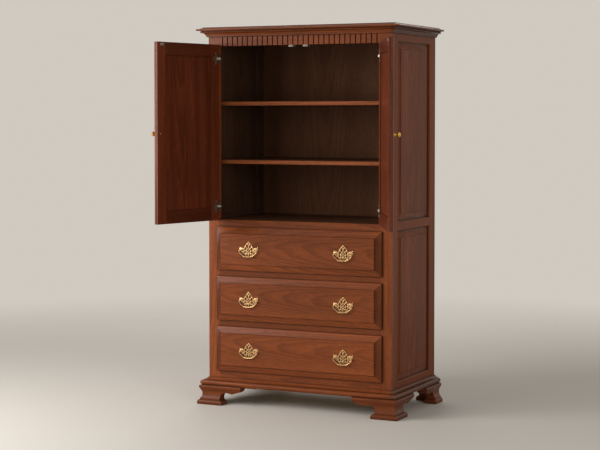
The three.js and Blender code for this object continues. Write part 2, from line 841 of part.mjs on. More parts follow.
function doorFrame() {
  const at = (inset, z) => ({ x0: inset, x1: doorWidth - inset, y0: inset, y1: doorHeight - inset, z });
  const quirk = (doorThickness - doorEdgeRound) / 2;
  const slab = rectangleLoft([
    at(0, 0),
    at(0, quirk - doorEdgeQuirk),
    at(doorEdgeQuirk, quirk),
    at(0, quirk + doorEdgeQuirk),
    at(0, doorThickness - doorEdgeRound),
    at(doorEdgeRound * (1 - Math.SQRT1_2), doorThickness - doorEdgeRound * (1 - Math.SQRT1_2)),
    at(doorEdgeRound, doorThickness),
  ]);
  const cutters = panelCutters(
    doorStileWidth,
    doorWidth - doorStileWidth,
    doorRailWidth,
    doorHeight - doorRailWidth,
    doorThickness,
    doorGrooveInset,
  );
  for (const level of hingeLevels) {
    cutters.push(shifted(rod(cupRadius + fitGap, -cutOverrun, cupDepth + fitGap, roundSides), cupPlace, level, 0));
    cutters.push(block(
      -cutOverrun,
      earReach + fitGap,
      level - pivotReach - fitGap,
      level + pivotReach + fitGap,
      -cutOverrun,
      earDepth + fitGap,
    ));
  }
  const screwHole = rod(knobScrewRadius + fitGap, -cutOverrun, doorThickness + cutOverrun, smallSides);
  cutters.push(shifted(screwHole, doorWidth - knobInset, knobHeight, 0));
  return aboutHinge(cutAway(slab, cutters));
}

function doorPanel() {
  const panel = raisedPanel(
    doorWidth - 2 * doorStileWidth,
    doorHeight - 2 * doorRailWidth,
    grooveWidth - 2 * fitGap,
  );
  return aboutHinge(shifted(panel, doorStileWidth, doorRailWidth, doorGrooveInset + fitGap));
}

function doorKnob() {
  const knob = turned(knobProfileShares.map(([radiusShare, alongShare]) => (
    [radiusShare * knobRadius, doorThickness + fitGap + alongShare * knobProjection]
  )), roundSides);
  const screw = turned([
    [0, -fitGap - knobScrewHeadThickness],
    [knobScrewHeadRadius / 2, -fitGap - knobScrewHeadThickness],
    [knobScrewHeadRadius, -fitGap - knobScrewHeadThickness / 2],
    [knobScrewHeadRadius, -fitGap],
    [knobScrewRadius, -fitGap],
    [knobScrewRadius, doorThickness + knobScrewLap],
    [0, doorThickness + knobScrewLap],
  ], smallSides);
  return aboutHinge(shifted(joined(knob, screw), doorWidth - knobInset, knobHeight, 0));
}

// A cup with two ears at the door's edge that turn on the arm's pin
function hingeCup(level) {
  const outside = -fitGap - cupFlangeThickness;
  const cup = turned([
    [0, cupDepth - cupWall],
    [cupRadius - cupWall, cupDepth - cupWall],
    [cupRadius - cupWall, outside],
    [cupFlangeRadius, outside],
    [cupFlangeRadius, -fitGap],
    [cupRadius, -fitGap],
    [cupRadius, cupDepth],
    [0, cupDepth],
  ], roundSides);
  const ears = block(earInset, earReach, -pivotReach, pivotReach, earInset, earDepth);
  const slotHalf = armHeight / 2 + earSideGap;
  const slot = block(-cutOverrun, earReach, -slotHalf, slotHalf, -cutOverrun, earDepth + cutOverrun);
  const bore = mapPoints(
    rod(pivotRadius + pivotClearance, -pivotReach - cutOverrun, pivotReach + cutOverrun, smallSides),
    (across, out, along) => [hingeEdgeDistance + across, along, hingeAxisDepth + out],
  );
  return aboutHinge(shifted(cutAway(joined(shifted(cup, cupPlace, 0, 0), ears), [slot, bore]), 0, level, 0));
}

// A hinge arm on the inner edge of a face stile, with a link that carries the hinge pin
function hingeArm(level) {
  const armDepth = frameThickness - armFrontInset;
  const noseEnd = armNoseOffset + armNoseWidth;
  const outline = [
    [0, armFrontInset], [armNoseOffset, armFrontInset], [armNoseOffset, -armNoseReach],
    [noseEnd, -armNoseReach], [noseEnd, armDepth - armPlateThickness],
    [noseEnd - armPlateThickness, armDepth], [0, armDepth],
  ].map(([inward, y]) => new THREE.Vector2(openingHalf - inward, y));
  const middleLevel = doorBottom + level;
  const low = middleLevel - armHeight / 2;
  const arm = shifted(prism(outline, armHeight), 0, 0, low);
  const plate = block(
    openingHalf - armPlateThickness,
    openingHalf,
    armFrontInset,
    armDepth,
    middleLevel - armPlateHeight / 2,
    middleLevel + armPlateHeight / 2,
  );
  const pivot = new THREE.Vector2(overlayHalf - hingeEdgeDistance, -doorGap - hingeAxisDepth);
  const nose = new THREE.Vector2(openingHalf - armNoseOffset - armNoseWidth / 2, -armNoseReach / 2);
  const along = nose.clone().sub(pivot).normalize();
  const across = new THREE.Vector2(-along.y, along.x).multiplyScalar(linkHalfThickness);
  const linkOutline = [pivot.clone().add(across), pivot.clone().sub(across), nose.clone().sub(across), nose.clone().add(across)];
  const link = shifted(prism(linkOutline, armHeight), 0, 0, low);
  const eye = shifted(rod(eyeRadius, -armHeight / 2, armHeight / 2, smallSides), pivot.x, pivot.y, middleLevel);
  const pin = shifted(rod(pivotRadius, -pivotReach, pivotReach, smallSides), pivot.x, pivot.y, middleLevel);
  return joined(arm, plate, link, eye, pin);
}

// A magnetic catch under the top rail, with a narrower nose towards its door
function magneticCatch() {
  const centre = catchInset + doorMeetingGap / 2;
  const half = catchWidth / 2;
  const noseHalf = catchLeverWidth / 2;
  const outline = [
    [centre - noseHalf, catchFrontGap], [centre + noseHalf, catchFrontGap],
    [centre + noseHalf, catchFrontGap + catchNose], [centre + half, catchFrontGap + catchNose],
    [centre + half, catchFrontGap + catchDepth], [centre - half, catchFrontGap + catchDepth],
    [centre - half, catchFrontGap + catchNose], [centre - noseHalf, catchFrontGap + catchNose],
  ].map(([x, y]) => new THREE.Vector2(x, y));
  return shifted(prism(outline, catchHeight), 0, 0, bayTop - catchHeight);
}

// Assembly
const cabinet = new THREE.Group();

function add(parent, name, geometry, finish) {
  const mesh = new THREE.Mesh(geometry, finish);
  mesh.name = name;
  parent.add(mesh);
}

function addPair(name, geometry, finish) {
  add(cabinet, `${name}_right`, geometry, finish);
  add(cabinet, `${name}_left`, mirroredX(geometry), finish);
}

addPair('side_frame', sideFrame(), sideWood);
for (const span of sidePanelSpans) {
  addPair(`side_panel_${span.name}`, sidePanel(span), sideWood);
}
addPair('face_stile', faceStile(), showWood);
add(cabinet, 'bottom_rail', faceRail(footHeight, drawers[0].openingBottom), showWood);
add(cabinet, 'web_frame_lower', webFrame(drawers[0], drawers[1]), showWood);
add(cabinet, 'web_frame_upper', webFrame(drawers[1], drawers[2]), showWood);
add(cabinet, 'waist_rail', faceRail(upperDrawer.openingTop, bayBottom), showWood);
add(cabinet, 'dentil_rail', dentilRail(), showWood);
add(cabinet, 'top_board', topBoard(), showWood);
add(
  cabinet,
  'crown_moulding',
  mitredMoulding(crownProfileShares, crownProjection, crownHeight, crownBottom),
  showWood,
);
add(
  cabinet,
  'base_moulding',
  mitredMoulding(baseProfileShares, baseProjection, baseMouldingHeight, footHeight),
  showWood,
);
addPair('front_foot', frontFoot(), showWood);
addPair('rear_foot', rearFoot(), showWood);
add(cabinet, 'deck_board', deckBoard(deckPlace), insideWood);
add(cabinet, 'bottom_board', bottomBoard(bottomPlace), plainWood);
add(cabinet, 'back_panel', block(-sideInner, sideInner, bayBack, carcassDepth, footHeight, crownTop), insideWood);
add(cabinet, 'shelf_lower', shelf(shelfPlaces[0]), insideWood);
add(cabinet, 'shelf_upper', shelf(shelfPlaces[1]), insideWood);
hingeLevels.forEach((level, index) => addPair(`hinge_arm_${hingeNames[index]}`, hingeArm(level), steel));
addPair('magnetic_catch', magneticCatch(), catchBrown);

drawers.forEach((drawer, index) => {
  const number = index + 1;
  add(cabinet, `drawer_front_${number}`, drawerFront(drawer), showWood);
  add(cabinet, `drawer_box_${number}`, drawerBox(drawer), plainWood);
  for (const [side, centre] of Object.entries(pullCentres(drawer))) {
    add(cabinet, `pull_plate_${number}_${side}`, pullMount(centre), brass);
    add(cabinet, `pull_bail_${number}_${side}`, bail(centre), brass);
  }
});

const doorPieces = [
  ['door_frame', doorFrame(), showWood],
  ['door_panel', doorPanel(), showWood],
  ['door_knob', doorKnob(), brass],
  ...hingeLevels.map((level, index) => [`hinge_cup_${hingeNames[index]}`, hingeCup(level), steel]),
];
const doorSides = [
  { name: 'left', side: -1, degrees: leftDoorOpenDegrees },
  { name: 'right', side: 1, degrees: rightDoorOpenDegrees },
];
for (const { name, side, degrees } of doorSides) {
  const door = new THREE.Group();
  door.position.set(side * (overlayHalf - hingeEdgeDistance), -doorGap - hingeAxisDepth, 0);
  door.rotation.z = side * THREE.MathUtils.degToRad(degrees);
  for (const [piece, geometry, finish] of doorPieces) {
    add(door, `${piece}_${name}`, side < 0 ? geometry : mirroredX(geometry), finish);
  }
  cabinet.add(door);
}

// The origin is the floor point under the middle of the armoire with its doors open
cabinet.updateMatrixWorld(true);
const extent = new THREE.Box3().setFromObject(cabinet, true);
const middle = extent.getCenter(new THREE.Vector3());
cabinet.position.set(-middle.x, -middle.y, 0);

const armoire = new THREE.Group();
armoire.add(cabinet);
armoire.updateMatrixWorld(true);

export default armoire;
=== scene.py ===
"""The looks of a television armoire in stained cherry with brass pulls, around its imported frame.

Lengths are in metres in the frame's own axes: X across, Y from the front to the back, Z up.
Values whose names end in _mm are in millimetres, and so are those of the pulls.
"""

from __future__ import annotations

import json
import logging
import math
from dataclasses import dataclass, field, replace
from enum import Enum
from typing import Any, Sequence

import bmesh
import bpy
from mathutils import Matrix, Vector


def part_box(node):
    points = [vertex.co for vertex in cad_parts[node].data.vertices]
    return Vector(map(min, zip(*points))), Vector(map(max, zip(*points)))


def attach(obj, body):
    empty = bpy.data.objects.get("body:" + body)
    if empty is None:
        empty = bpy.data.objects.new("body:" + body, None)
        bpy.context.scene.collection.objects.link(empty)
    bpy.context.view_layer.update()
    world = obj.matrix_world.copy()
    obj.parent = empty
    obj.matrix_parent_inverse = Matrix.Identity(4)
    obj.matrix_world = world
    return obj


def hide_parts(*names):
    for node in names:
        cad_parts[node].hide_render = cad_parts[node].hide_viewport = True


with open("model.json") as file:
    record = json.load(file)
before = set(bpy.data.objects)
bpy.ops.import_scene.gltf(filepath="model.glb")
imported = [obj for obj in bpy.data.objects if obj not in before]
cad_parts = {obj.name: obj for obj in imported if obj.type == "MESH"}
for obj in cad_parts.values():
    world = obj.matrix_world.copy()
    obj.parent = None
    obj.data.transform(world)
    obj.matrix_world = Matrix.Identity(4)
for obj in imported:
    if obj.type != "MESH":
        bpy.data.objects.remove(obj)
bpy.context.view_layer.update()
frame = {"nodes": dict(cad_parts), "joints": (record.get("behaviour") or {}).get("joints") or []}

LOG = logging.getLogger("armoire")
MM = 0.001
X_AXIS, Y_AXIS, Z_AXIS = Vector((1, 0, 0)), Vector((0, 1, 0)), Vector((0, 0, 1))
Colour = tuple[float, float, float, float]
Socket = bpy.types.NodeSocket
# The kinds of node that the finishes use most.
MATH, VECTOR_MATH, MIX = "ShaderNodeMath", "ShaderNodeVectorMath", "ShaderNodeMix"
REMAP, NOISE = "ShaderNodeMapRange", "ShaderNodeTexNoise"


# ---------------------------------------------------------------- colours and nodes


def linear(code: str) -> Colour:
    """Turns an sRGB colour into the linear one that a shader takes.

    Args:
        code: the colour as "#RRGGBB".

    Returns:
        Red, green, blue and a full alpha, from 0 to 1.
    """
    parts = [int(code[i : i + 2], 16) / 255 for i in (1, 3, 5)]
    red, green, blue = (p / 12.92 if p <= 0.04045 else ((p + 0.055) / 1.055) ** 2.4 for p in parts)
    return red, green, blue, 1.0


def add_node(
    tree: bpy.types.NodeTree, kind: str, inputs: dict | None = None, **settings: Any
) -> bpy.types.Node:
    """Adds one node to a tree.

    Args:
        tree: the node tree.
        kind: the node's type.
        inputs: values or sockets for its inputs, by name or place.
        settings: values of its properties.

    Returns:
        The new node.
    """
    node = tree.nodes.new(kind)
    for name, value in settings.items():
        setattr(node, name, value)
    for key, value in (inputs or {}).items():
        if isinstance(value, Socket):
            tree.links.new(value, node.inputs[key])
        else:
            node.inputs[key].default_value = value
    return node


def new_material(name: str) -> tuple[bpy.types.Material, bpy.types.NodeTree]:
    """Makes an empty material.

    Args:
        name: the name of the real finish.

    Returns:
        The material and its node tree.
    """
    material = bpy.data.materials.new(name)
    material.use_nodes = True
    material.node_tree.nodes.clear()
    return material, material.node_tree


def hollow_residue_and_shade(
    tree: bpy.types.NodeTree, reach_mm: float, openness: tuple[float, float], most: float
) -> Socket:
    """Finds how dark the hollows are painted, by how little open sky they see: partly glaze, wax or dirt that
    stays there, and partly painted shade.

    Args:
        tree: the material's nodes.
        reach_mm: how far from a corner it lies.
        openness: the shares of open sky at which it is fullest and gone.
        most: its share where it is fullest.

    Returns:
        Its share.
    """
    sky = add_node(tree, "ShaderNodeAmbientOcclusion", {"Distance": reach_mm * MM}, samples=6).outputs["AO"]
    inputs = {"Value": sky, "From Min": openness[0], "From Max": openness[1], "To Min": most, "To Max": 0.0}
    return add_node(tree, REMAP, inputs).outputs[0]


def coat_over(tree: bpy.types.NodeTree, surface: dict, relief: dict) -> None:
    """Ends a material with its surface, over a fine relief.

    Args:
        tree: the material's nodes.
        surface: the inputs of the surface.
        relief: the strength, the depth and the height of the relief.
    """
    bump = add_node(tree, "ShaderNodeBump", relief).outputs[0]
    shader = add_node(tree, "ShaderNodeBsdfPrincipled", {**surface, "Normal": bump}).outputs[0]
    add_node(tree, "ShaderNodeOutputMaterial", {"Surface": shader})


# ---------------------------------------------------------------- boards and their grain


@dataclass(frozen=True)
class Board:
    """How one board was sawn from its log, which sets the figure that its faces show.

    Its grain runs along, its best face looks to face, and its log's heart lies at pith_mm across
    and behind its centre, leaning a little. The tone says how light its stain came out, and on a few
    pieces it also carries painted light and painted shade.
    """

    along: Vector
    face: Vector
    centre: Vector
    pith_mm: tuple[float, float] = (15.0, -95.0)
    lean_degrees: tuple[float, float] = (1.2, 2.2)
    tone: float = 1.0

    def place(self, tree: bpy.types.NodeTree, point: Socket) -> Socket:
        """Brings the log's heart to the X axis.

        Args:
            tree: the material's nodes.
            point: the place on the piece.

        Returns:
            The place in the log.
        """
        lean = Matrix.Rotation(math.radians(self.lean_degrees[0]), 3, "Z")
        lean = Matrix.Rotation(math.radians(self.lean_degrees[1]), 3, "Y") @ lean
        turn = lean @ Matrix((self.along, self.face.cross(self.along), self.face))
        shift = -(turn @ self.centre) - Vector((0, *self.pith_mm)) * MM
        inputs = {"Vector": point, "Rotation": tuple(turn.to_euler("XYZ")), "Location": tuple(shift)}
        return add_node(tree, "ShaderNodeMapping", inputs).outputs[0]


@dataclass(frozen=True)
class Joint:
    """Where a piece's second board takes over from its first, as |p . fold| + p . slope < reach.

    With a mitre, it also takes over where |p . fold| - |p . mitre| < mitre_reach.
    """

    centre: Vector
    fold: Vector
    reach: float
    slope: Vector = field(default_factory=lambda: Vector((0, 0, 0)))
    mitre: Vector | None = None
    mitre_reach: float = 0.0

    def share(self, tree: bpy.types.NodeTree, point: Socket) -> Socket:
        """Tells the second board from the first.

        Args:
            tree: the material's nodes.
            point: the place on the piece.

        Returns:
            1 on the second board and 0 on the first.
        """
        offset = add_node(tree, VECTOR_MATH, {0: point, 1: self.centre}, operation="SUBTRACT").outputs[0]
        fold, slope = (
            add_node(tree, VECTOR_MATH, {0: offset, 1: way}, operation="DOT_PRODUCT").outputs[1]
            for way in (self.fold, self.slope)
        )
        size = add_node(tree, MATH, {0: fold}, operation="ABSOLUTE").outputs[0]
        total = add_node(tree, MATH, {0: size, 1: slope}, operation="ADD").outputs[0]
        share = add_node(tree, MATH, {0: total, 1: self.reach}, operation="LESS_THAN").outputs[0]
        if self.mitre is None:
            return share
        inputs = {0: offset, 1: self.mitre}
        rise = add_node(tree, VECTOR_MATH, inputs, operation="DOT_PRODUCT").outputs[1]
        rise = add_node(tree, MATH, {0: rise}, operation="ABSOLUTE").outputs[0]
        past = add_node(tree, MATH, {0: size, 1: rise}, operation="SUBTRACT").outputs[0]
        corner = add_node(tree, MATH, {0: past, 1: self.mitre_reach}, operation="LESS_THAN").outputs[0]
        return add_node(tree, MATH, {0: share, 1: corner}, operation="MAXIMUM").outputs[0]


@dataclass(frozen=True)
class Beyond:
    """A part of a piece with a finish of its own, on the far side of a plane."""

    start: Vector
    out: Vector
    finish: WoodFinish

    def share(self, tree: bpy.types.NodeTree, point: Socket) -> Socket:
        """Tells the far side, as 1, from the near side.

        Args:
            tree: the material's nodes.
            point: the place on the piece.

        Returns:
            The far side's share.
        """
        offset = add_node(tree, VECTOR_MATH, {0: point, 1: self.start}, operation="SUBTRACT").outputs[0]
        depth = add_node(tree, VECTOR_MATH, {0: offset, 1: self.out}, operation="DOT_PRODUCT").outputs[1]
        return add_node(tree, MATH, {0: depth, 1: 0.0}, operation="GREATER_THAN").outputs[0]


# A wave texture of scale 1 makes a ring in this many units.
WAVE_PERIOD = 0.314
LACQUER_IOR = 1.5


@dataclass(frozen=True)
class WoodFinish:
    """Sawn, stained and lacquered hardwood: rings, fibres and pores under a thin satin film."""

    name: str
    light: str
    dark: str
    streak: str
    # The glaze colour fills the pores, and it also darkens the hollows, where it partly paints shade.
    glaze: str = "#1A0B06"
    glaze_and_shade_share: float = 0.8
    glaze_and_shade_reach_mm: float = 9.0
    roughness: tuple[float, float] = (0.30, 0.42)
    coat: float = 0.06
    specular: float = 0.24
    ring_mm: float = 7.0
    ring_share: float = 0.55
    fibre_mm: float = 3.5
    streak_share: float = 0.6
    pore_mm: float = 0.9
    pore_share: float = 0.3
    cloud_mm: float = 76.92
    stretch: float = 0.09
    tone_share: float = 0.22
    strip_spread: tuple[float, float, float] = (2.3, 0.06, 0.05)
    strip_tones: tuple[float, float] = (0.78, 1.22)

    def glued_strips(self, tree: bpy.types.NodeTree, place: Socket, strip_mm: float) -> tuple[Socket, Socket]:
        """Cuts each strip of a wide panel from a place of its own in the log.

        Args:
            tree: the material's nodes.
            place: the place in the log.
            strip_mm: the width of a strip.

        Returns:
            The new place and the strip's tone.
        """
        across = add_node(tree, "ShaderNodeSeparateXYZ", {0: place}).outputs["Y"]
        inputs = {0: across, 1: 1 / (strip_mm * MM)}
        strip = add_node(tree, MATH, inputs, operation="MULTIPLY").outputs[0]
        number = add_node(tree, MATH, {0: strip}, operation="FLOOR").outputs[0]
        chance = add_node(tree, "ShaderNodeTexWhiteNoise", {"W": number}, noise_dimensions="1D").outputs
        inputs = {0: chance["Color"], 1: self.strip_spread}
        spread = add_node(tree, VECTOR_MATH, inputs, operation="MULTIPLY").outputs[0]
        place = add_node(tree, VECTOR_MATH, {0: place, 1: spread}, operation="ADD").outputs[0]
        inputs = {"Value": chance["Value"], "To Min": self.strip_tones[0], "To Max": self.strip_tones[1]}
        return place, add_node(tree, REMAP, inputs).outputs[0]

    def rings(self, tree: bpy.types.NodeTree, log: Socket) -> Socket:
        """Adds the growth rings: pale early wood that darkens slowly to a late line.

        Args:
            tree: the material's nodes.
            log: the place in the log, drawn out along the grain.

        Returns:
            The share of late wood.
        """
        inputs = {"Vector": log, "Scale": WAVE_PERIOD / (self.ring_mm * MM), "Distortion": 9.0, "Detail": 2.0}
        inputs |= {"Detail Scale": 0.32, "Detail Roughness": 0.5}
        settings = {"wave_type": "RINGS", "rings_direction": "X", "wave_profile": "SAW"}
        wave = add_node(tree, "ShaderNodeTexWave", inputs, **settings).outputs["Fac"]
        inputs = {"Value": wave, "From Min": 0.3, "From Max": 1.0, "To Max": self.ring_share}
        return add_node(tree, REMAP, inputs, interpolation_type="SMOOTHSTEP").outputs[0]

    def stained(
        self, tree: bpy.types.NodeTree, point: Socket, late: Socket, streaks: Socket, beyond: Sequence[Beyond]
    ) -> Socket:
        """Colours the wood by its rings and streaks, in this finish and in those of its other parts.

        Args:
            tree: the material's nodes.
            point: the place on the piece.
            late: the share of late wood.
            streaks: the share of streaks.
            beyond: the parts of the piece that have another finish.

        Returns:
            The colour.
        """
        colours: list[Socket | Colour] = [linear(code) for code in (self.light, self.dark, self.streak)]
        for part in beyond:
            far = part.share(tree, point)
            codes = (part.finish.light, part.finish.dark, part.finish.streak)
            colours = [
                add_node(tree, MIX, {0: far, 6: near, 7: linear(code)}, data_type="RGBA").outputs[2]
                for near, code in zip(colours, codes)
            ]
        colour = colours[0]
        for share, other in zip((late, streaks), colours[1:]):
            colour = add_node(tree, MIX, {0: share, 6: colour, 7: other}, data_type="RGBA").outputs[2]
        return colour

    def material(
        self,
        name: str,
        board: Board,
        joint: Joint | None = None,
        second: Board | None = None,
        strip_mm: float = 0.0,
        beyond: Sequence[Beyond] = (),
    ) -> bpy.types.Material:
        """Makes the finish for one piece.

        Args:
            name: the piece that it goes on.
            board: the board that the piece is cut from.
            joint: where a second board takes over, if one does.
            second: the second board.
            strip_mm: the width of the strips that a wide panel is glued up from, or 0.
            beyond: the parts of the piece that have another finish.

        Returns:
            The material.
        """
        material, tree = new_material(f"{self.name}_{name}")
        point = add_node(tree, "ShaderNodeTexCoord").outputs["Object"]
        place: Socket = board.place(tree, point)
        tones: list[Socket | float] = [board.tone]
        if joint is not None:
            share = joint.share(tree, point)
            inputs = {0: share, 4: place, 5: second.place(tree, point)}
            place = add_node(tree, MIX, inputs, data_type="VECTOR").outputs[1]
            inputs = {"Value": share, "To Min": board.tone, "To Max": second.tone}
            tones = [add_node(tree, REMAP, inputs).outputs[0]]
        if strip_mm:
            place, strip_tone = self.glued_strips(tree, place, strip_mm)
            tones.append(strip_tone)
        inputs = {0: place, 1: (self.stretch, 1, 1)}
        log = add_node(tree, VECTOR_MATH, inputs, operation="MULTIPLY").outputs[0]

        # Fibres are long streaks a few millimetres wide. Pores are really 0.1 mm wide, and drawn at
        # about 1 mm so that they show. Clouds: stain takes unevenly over a hand's breadth.
        fibre, pores, cloud = (
            add_node(
                tree,
                NOISE,
                {"Vector": log, "Scale": 1 / (size_mm * MM), "Detail": detail, "Roughness": roughness},
            ).outputs["Fac"]
            for size_mm, detail, roughness in (
                (self.fibre_mm, 4.0, 0.62),
                (self.pore_mm, 1.0, 0.5),
                (self.cloud_mm, 3.0, 0.55),
            )
        )
        inputs = {"Value": fibre, "From Min": 0.42, "From Max": 0.72, "To Max": self.streak_share}
        streaks = add_node(tree, REMAP, inputs).outputs[0]
        colour = self.stained(tree, point, self.rings(tree, log), streaks, beyond)
        pits = add_node(tree, REMAP, {"Value": pores, "From Min": 0.58, "From Max": 0.72}).outputs[0]
        pit_share = add_node(tree, MATH, {0: pits, 1: self.pore_share}, operation="MULTIPLY").outputs[0]
        inputs = {0: pit_share, 6: colour, 7: linear(self.glaze)}
        colour = add_node(tree, MIX, inputs, data_type="RGBA").outputs[2]
        inputs = {"Value": cloud, "From Min": 0.3, "From Max": 0.7}
        inputs |= {"To Min": 1 - self.tone_share, "To Max": 1 + self.tone_share}
        shade = add_node(tree, REMAP, inputs).outputs[0]
        for tone in tones:
            shade = add_node(tree, MATH, {0: shade, 1: tone}, operation="MULTIPLY").outputs[0]
        colour = add_node(tree, VECTOR_MATH, {0: colour, "Scale": shade}, operation="SCALE").outputs[0]
        # Dark glaze stays in the quirks and corners when it is wiped off the flats, and this darkening by how
        # little open sky a point sees also paints the shade that falls there.
        glaze_and_shade = hollow_residue_and_shade(tree, self.glaze_and_shade_reach_mm, (0.35, 0.9), self.glaze_and_shade_share)
        inputs = {0: glaze_and_shade, 6: colour, 7: linear(self.glaze)}
        colour = add_node(tree, MIX, inputs, data_type="RGBA").outputs[2]

        inputs = {"Value": fibre, "From Min": 0.3, "From Max": 0.7}
        inputs |= {"To Min": self.roughness[0], "To Max": self.roughness[1]}
        gloss = add_node(tree, REMAP, inputs).outputs[0]
        ridges = add_node(tree, MATH, {0: fibre, 1: 0.5}, operation="MULTIPLY").outputs[0]
        height = add_node(tree, MATH, {0: ridges, 1: pits}, operation="SUBTRACT").outputs[0]
        surface = {"Base Color": colour, "Roughness": gloss, "IOR": LACQUER_IOR}
        surface |= {"Specular IOR Level": self.specular, "Coat Weight": self.coat, "Coat Roughness": 0.22}
        coat_over(tree, surface, {"Strength": 0.25, "Distance": 0.12 * MM, "Height": height})
        return material


# Cherry stained red-brown and sprayed with satin lacquer: warm and even, painted dark in the quirks, partly
# as glaze and partly as painted shade.
SHOW_CHERRY = WoodFinish("stained_cherry", "#844421", "#613018", "#552815", specular=0.14, coat=0.04)
# The drawer fronts, whose quirks are painted darker and further out than elsewhere: painted shadow lines
# along the lips and the fields' steps.
DRAWER_CHERRY_PAINTED_SHADOWS = replace(SHOW_CHERRY, name="stained_cherry_drawer_painted_shadows", glaze_and_shade_share=1.0, glaze_and_shade_reach_mm=15.0)
# The same boards on the sides, which took the stain a little browner.
SIDE_CHERRY = WoodFinish(
    "stained_cherry_side", "#7E4020", "#5E2E18", "#522614", glaze_and_shade_share=0.5, specular=0.06, coat=0.02
)
# Boards picked for the doors' panels, with broader and stronger streaks.
PANEL_CHERRY = replace(SHOW_CHERRY, name="stained_cherry_panel", tone_share=0.42)
# The doors' long edges, painted darker than the faces: painted shade.
PAINTED_SHADE_DOOR_EDGE = WoodFinish("painted_shade_cherry_door_edge", "#63372A", "#4A281D", "#412218")
# The mouldings' right returns, painted darker: painted shade on the side turned from the key light.
PAINTED_SHADE_CHERRY = WoodFinish("painted_shade_cherry_return", "#6A3F28", "#4E2E1D", "#462717")
# The doors' inner faces, painted dark like the inside and a little redder: painted shade on faces turned from
# the light.
PAINTED_SHADE_DOOR_LINING = WoodFinish("painted_shade_door_lining", "#6C341E", "#502415", "#461C10")
# The inside has one dark coat and little lacquer, so it hardly shines.
INSIDE_CHERRY = WoodFinish(
    "dark_stained_inside",
    "#6D4831",
    "#553829",
    "#482F22",
    "#150B07",
    roughness=(0.45, 0.58),
    coat=0.0,
    specular=0.15,
    tone_share=0.14,
)
# Thin strips along the shelves' front edges, painted paler than the show wood: a painted highlight where
# light catches the edges against the dark inside.
PAINTED_LIGHT_EDGE_CHERRY = WoodFinish("stained_cherry_edging_painted_light", "#A25A34", "#7C4524", "#6C371E")
# Veneered board on the sides' inner faces, stained with the inside but greyer.
SIDE_LINING = WoodFinish("dark_stained_side_lining", "#5E4231", "#48301F", "#3C2B1E")
# Poplar left pale for the drawer boxes: dull, with a faint green-brown streak.
PALE_POPLAR = WoodFinish(
    "pale_poplar",
    "#D2B584",
    "#B99A6A",
    "#A98D63",
    "#5A4530",
    glaze_and_shade_share=0.5,
    roughness=(0.48, 0.6),
    coat=0.0,
    tone_share=0.08,
)


@dataclass(frozen=True)
class MetalFinish:
    """Plated or polished metal: a tinted mirror dulled by fine lines and darkened in the hollows, partly by
    what is left there and partly as painted shade.
    """

    name: str
    polished: str
    dull: str
    hollow_residue_and_shade_colour: str
    roughness: tuple[float, float]
    line_mm: float
    hollow_residue_and_shade_share: float = 0.7
    cloud_mm: float = 11.11

    def material(self) -> bpy.types.Material:
        """Makes the metal.

        Returns:
            The material.
        """
        material, tree = new_material(self.name)
        point = add_node(tree, "ShaderNodeTexCoord").outputs["Object"]
        cloud, lines = (
            add_node(
                tree,
                NOISE,
                {"Vector": point, "Scale": 1 / (size_mm * MM), "Detail": detail, "Roughness": roughness},
            ).outputs["Fac"]
            for size_mm, detail, roughness in ((self.cloud_mm, 4.0, 0.6), (self.line_mm, 2.0, 0.5))
        )
        worn = add_node(tree, REMAP, {"Value": cloud, "From Min": 0.4, "From Max": 0.7}).outputs[0]
        # Hollows darken by how little open sky they see: polish or dirt left there, and painted shade.
        left = hollow_residue_and_shade(tree, 3.0, (0.3, 0.85), self.hollow_residue_and_shade_share)
        colour: Socket | Colour = linear(self.polished)
        for share, code in ((worn, self.dull), (left, self.hollow_residue_and_shade_colour)):
            inputs = {0: share, 6: colour, 7: linear(code)}
            colour = add_node(tree, MIX, inputs, data_type="RGBA").outputs[2]
        inputs = {"Value": cloud, "From Min": 0.3, "From Max": 0.7}
        inputs |= {"To Min": self.roughness[0], "To Max": self.roughness[1]}
        gloss = add_node(tree, REMAP, inputs).outputs[0]
        surface = {"Base Color": colour, "Metallic": 1.0, "Roughness": gloss}
        coat_over(tree, surface, {"Strength": 0.15, "Distance": 0.05 * MM, "Height": lines})
        return material


# Cast brass, polished and lacquered: bright on the raised parts, dark brown in the hollows, partly where
# polish was left and partly as painted shade in the openwork.
ANTIQUE_BRASS = MetalFinish("antique_brass", "#E2B985", "#B88F5F", "#3A2412", (0.24, 0.42), 0.5, 0.85)
# Pressed steel with bright nickel plating, a little cloudy from handling.
NICKEL_PLATE = MetalFinish("nickel_plated_steel", "#B4A595", "#8A7C6F", "#3A302A", (0.42, 0.58), 0.4, 0.4)
# Turned brass, polished bright and kept so by hands.
POLISHED_BRASS = MetalFinish("polished_brass", "#F2CB66", "#CB9C48", "#4A2F16", (0.12, 0.25), 0.5)


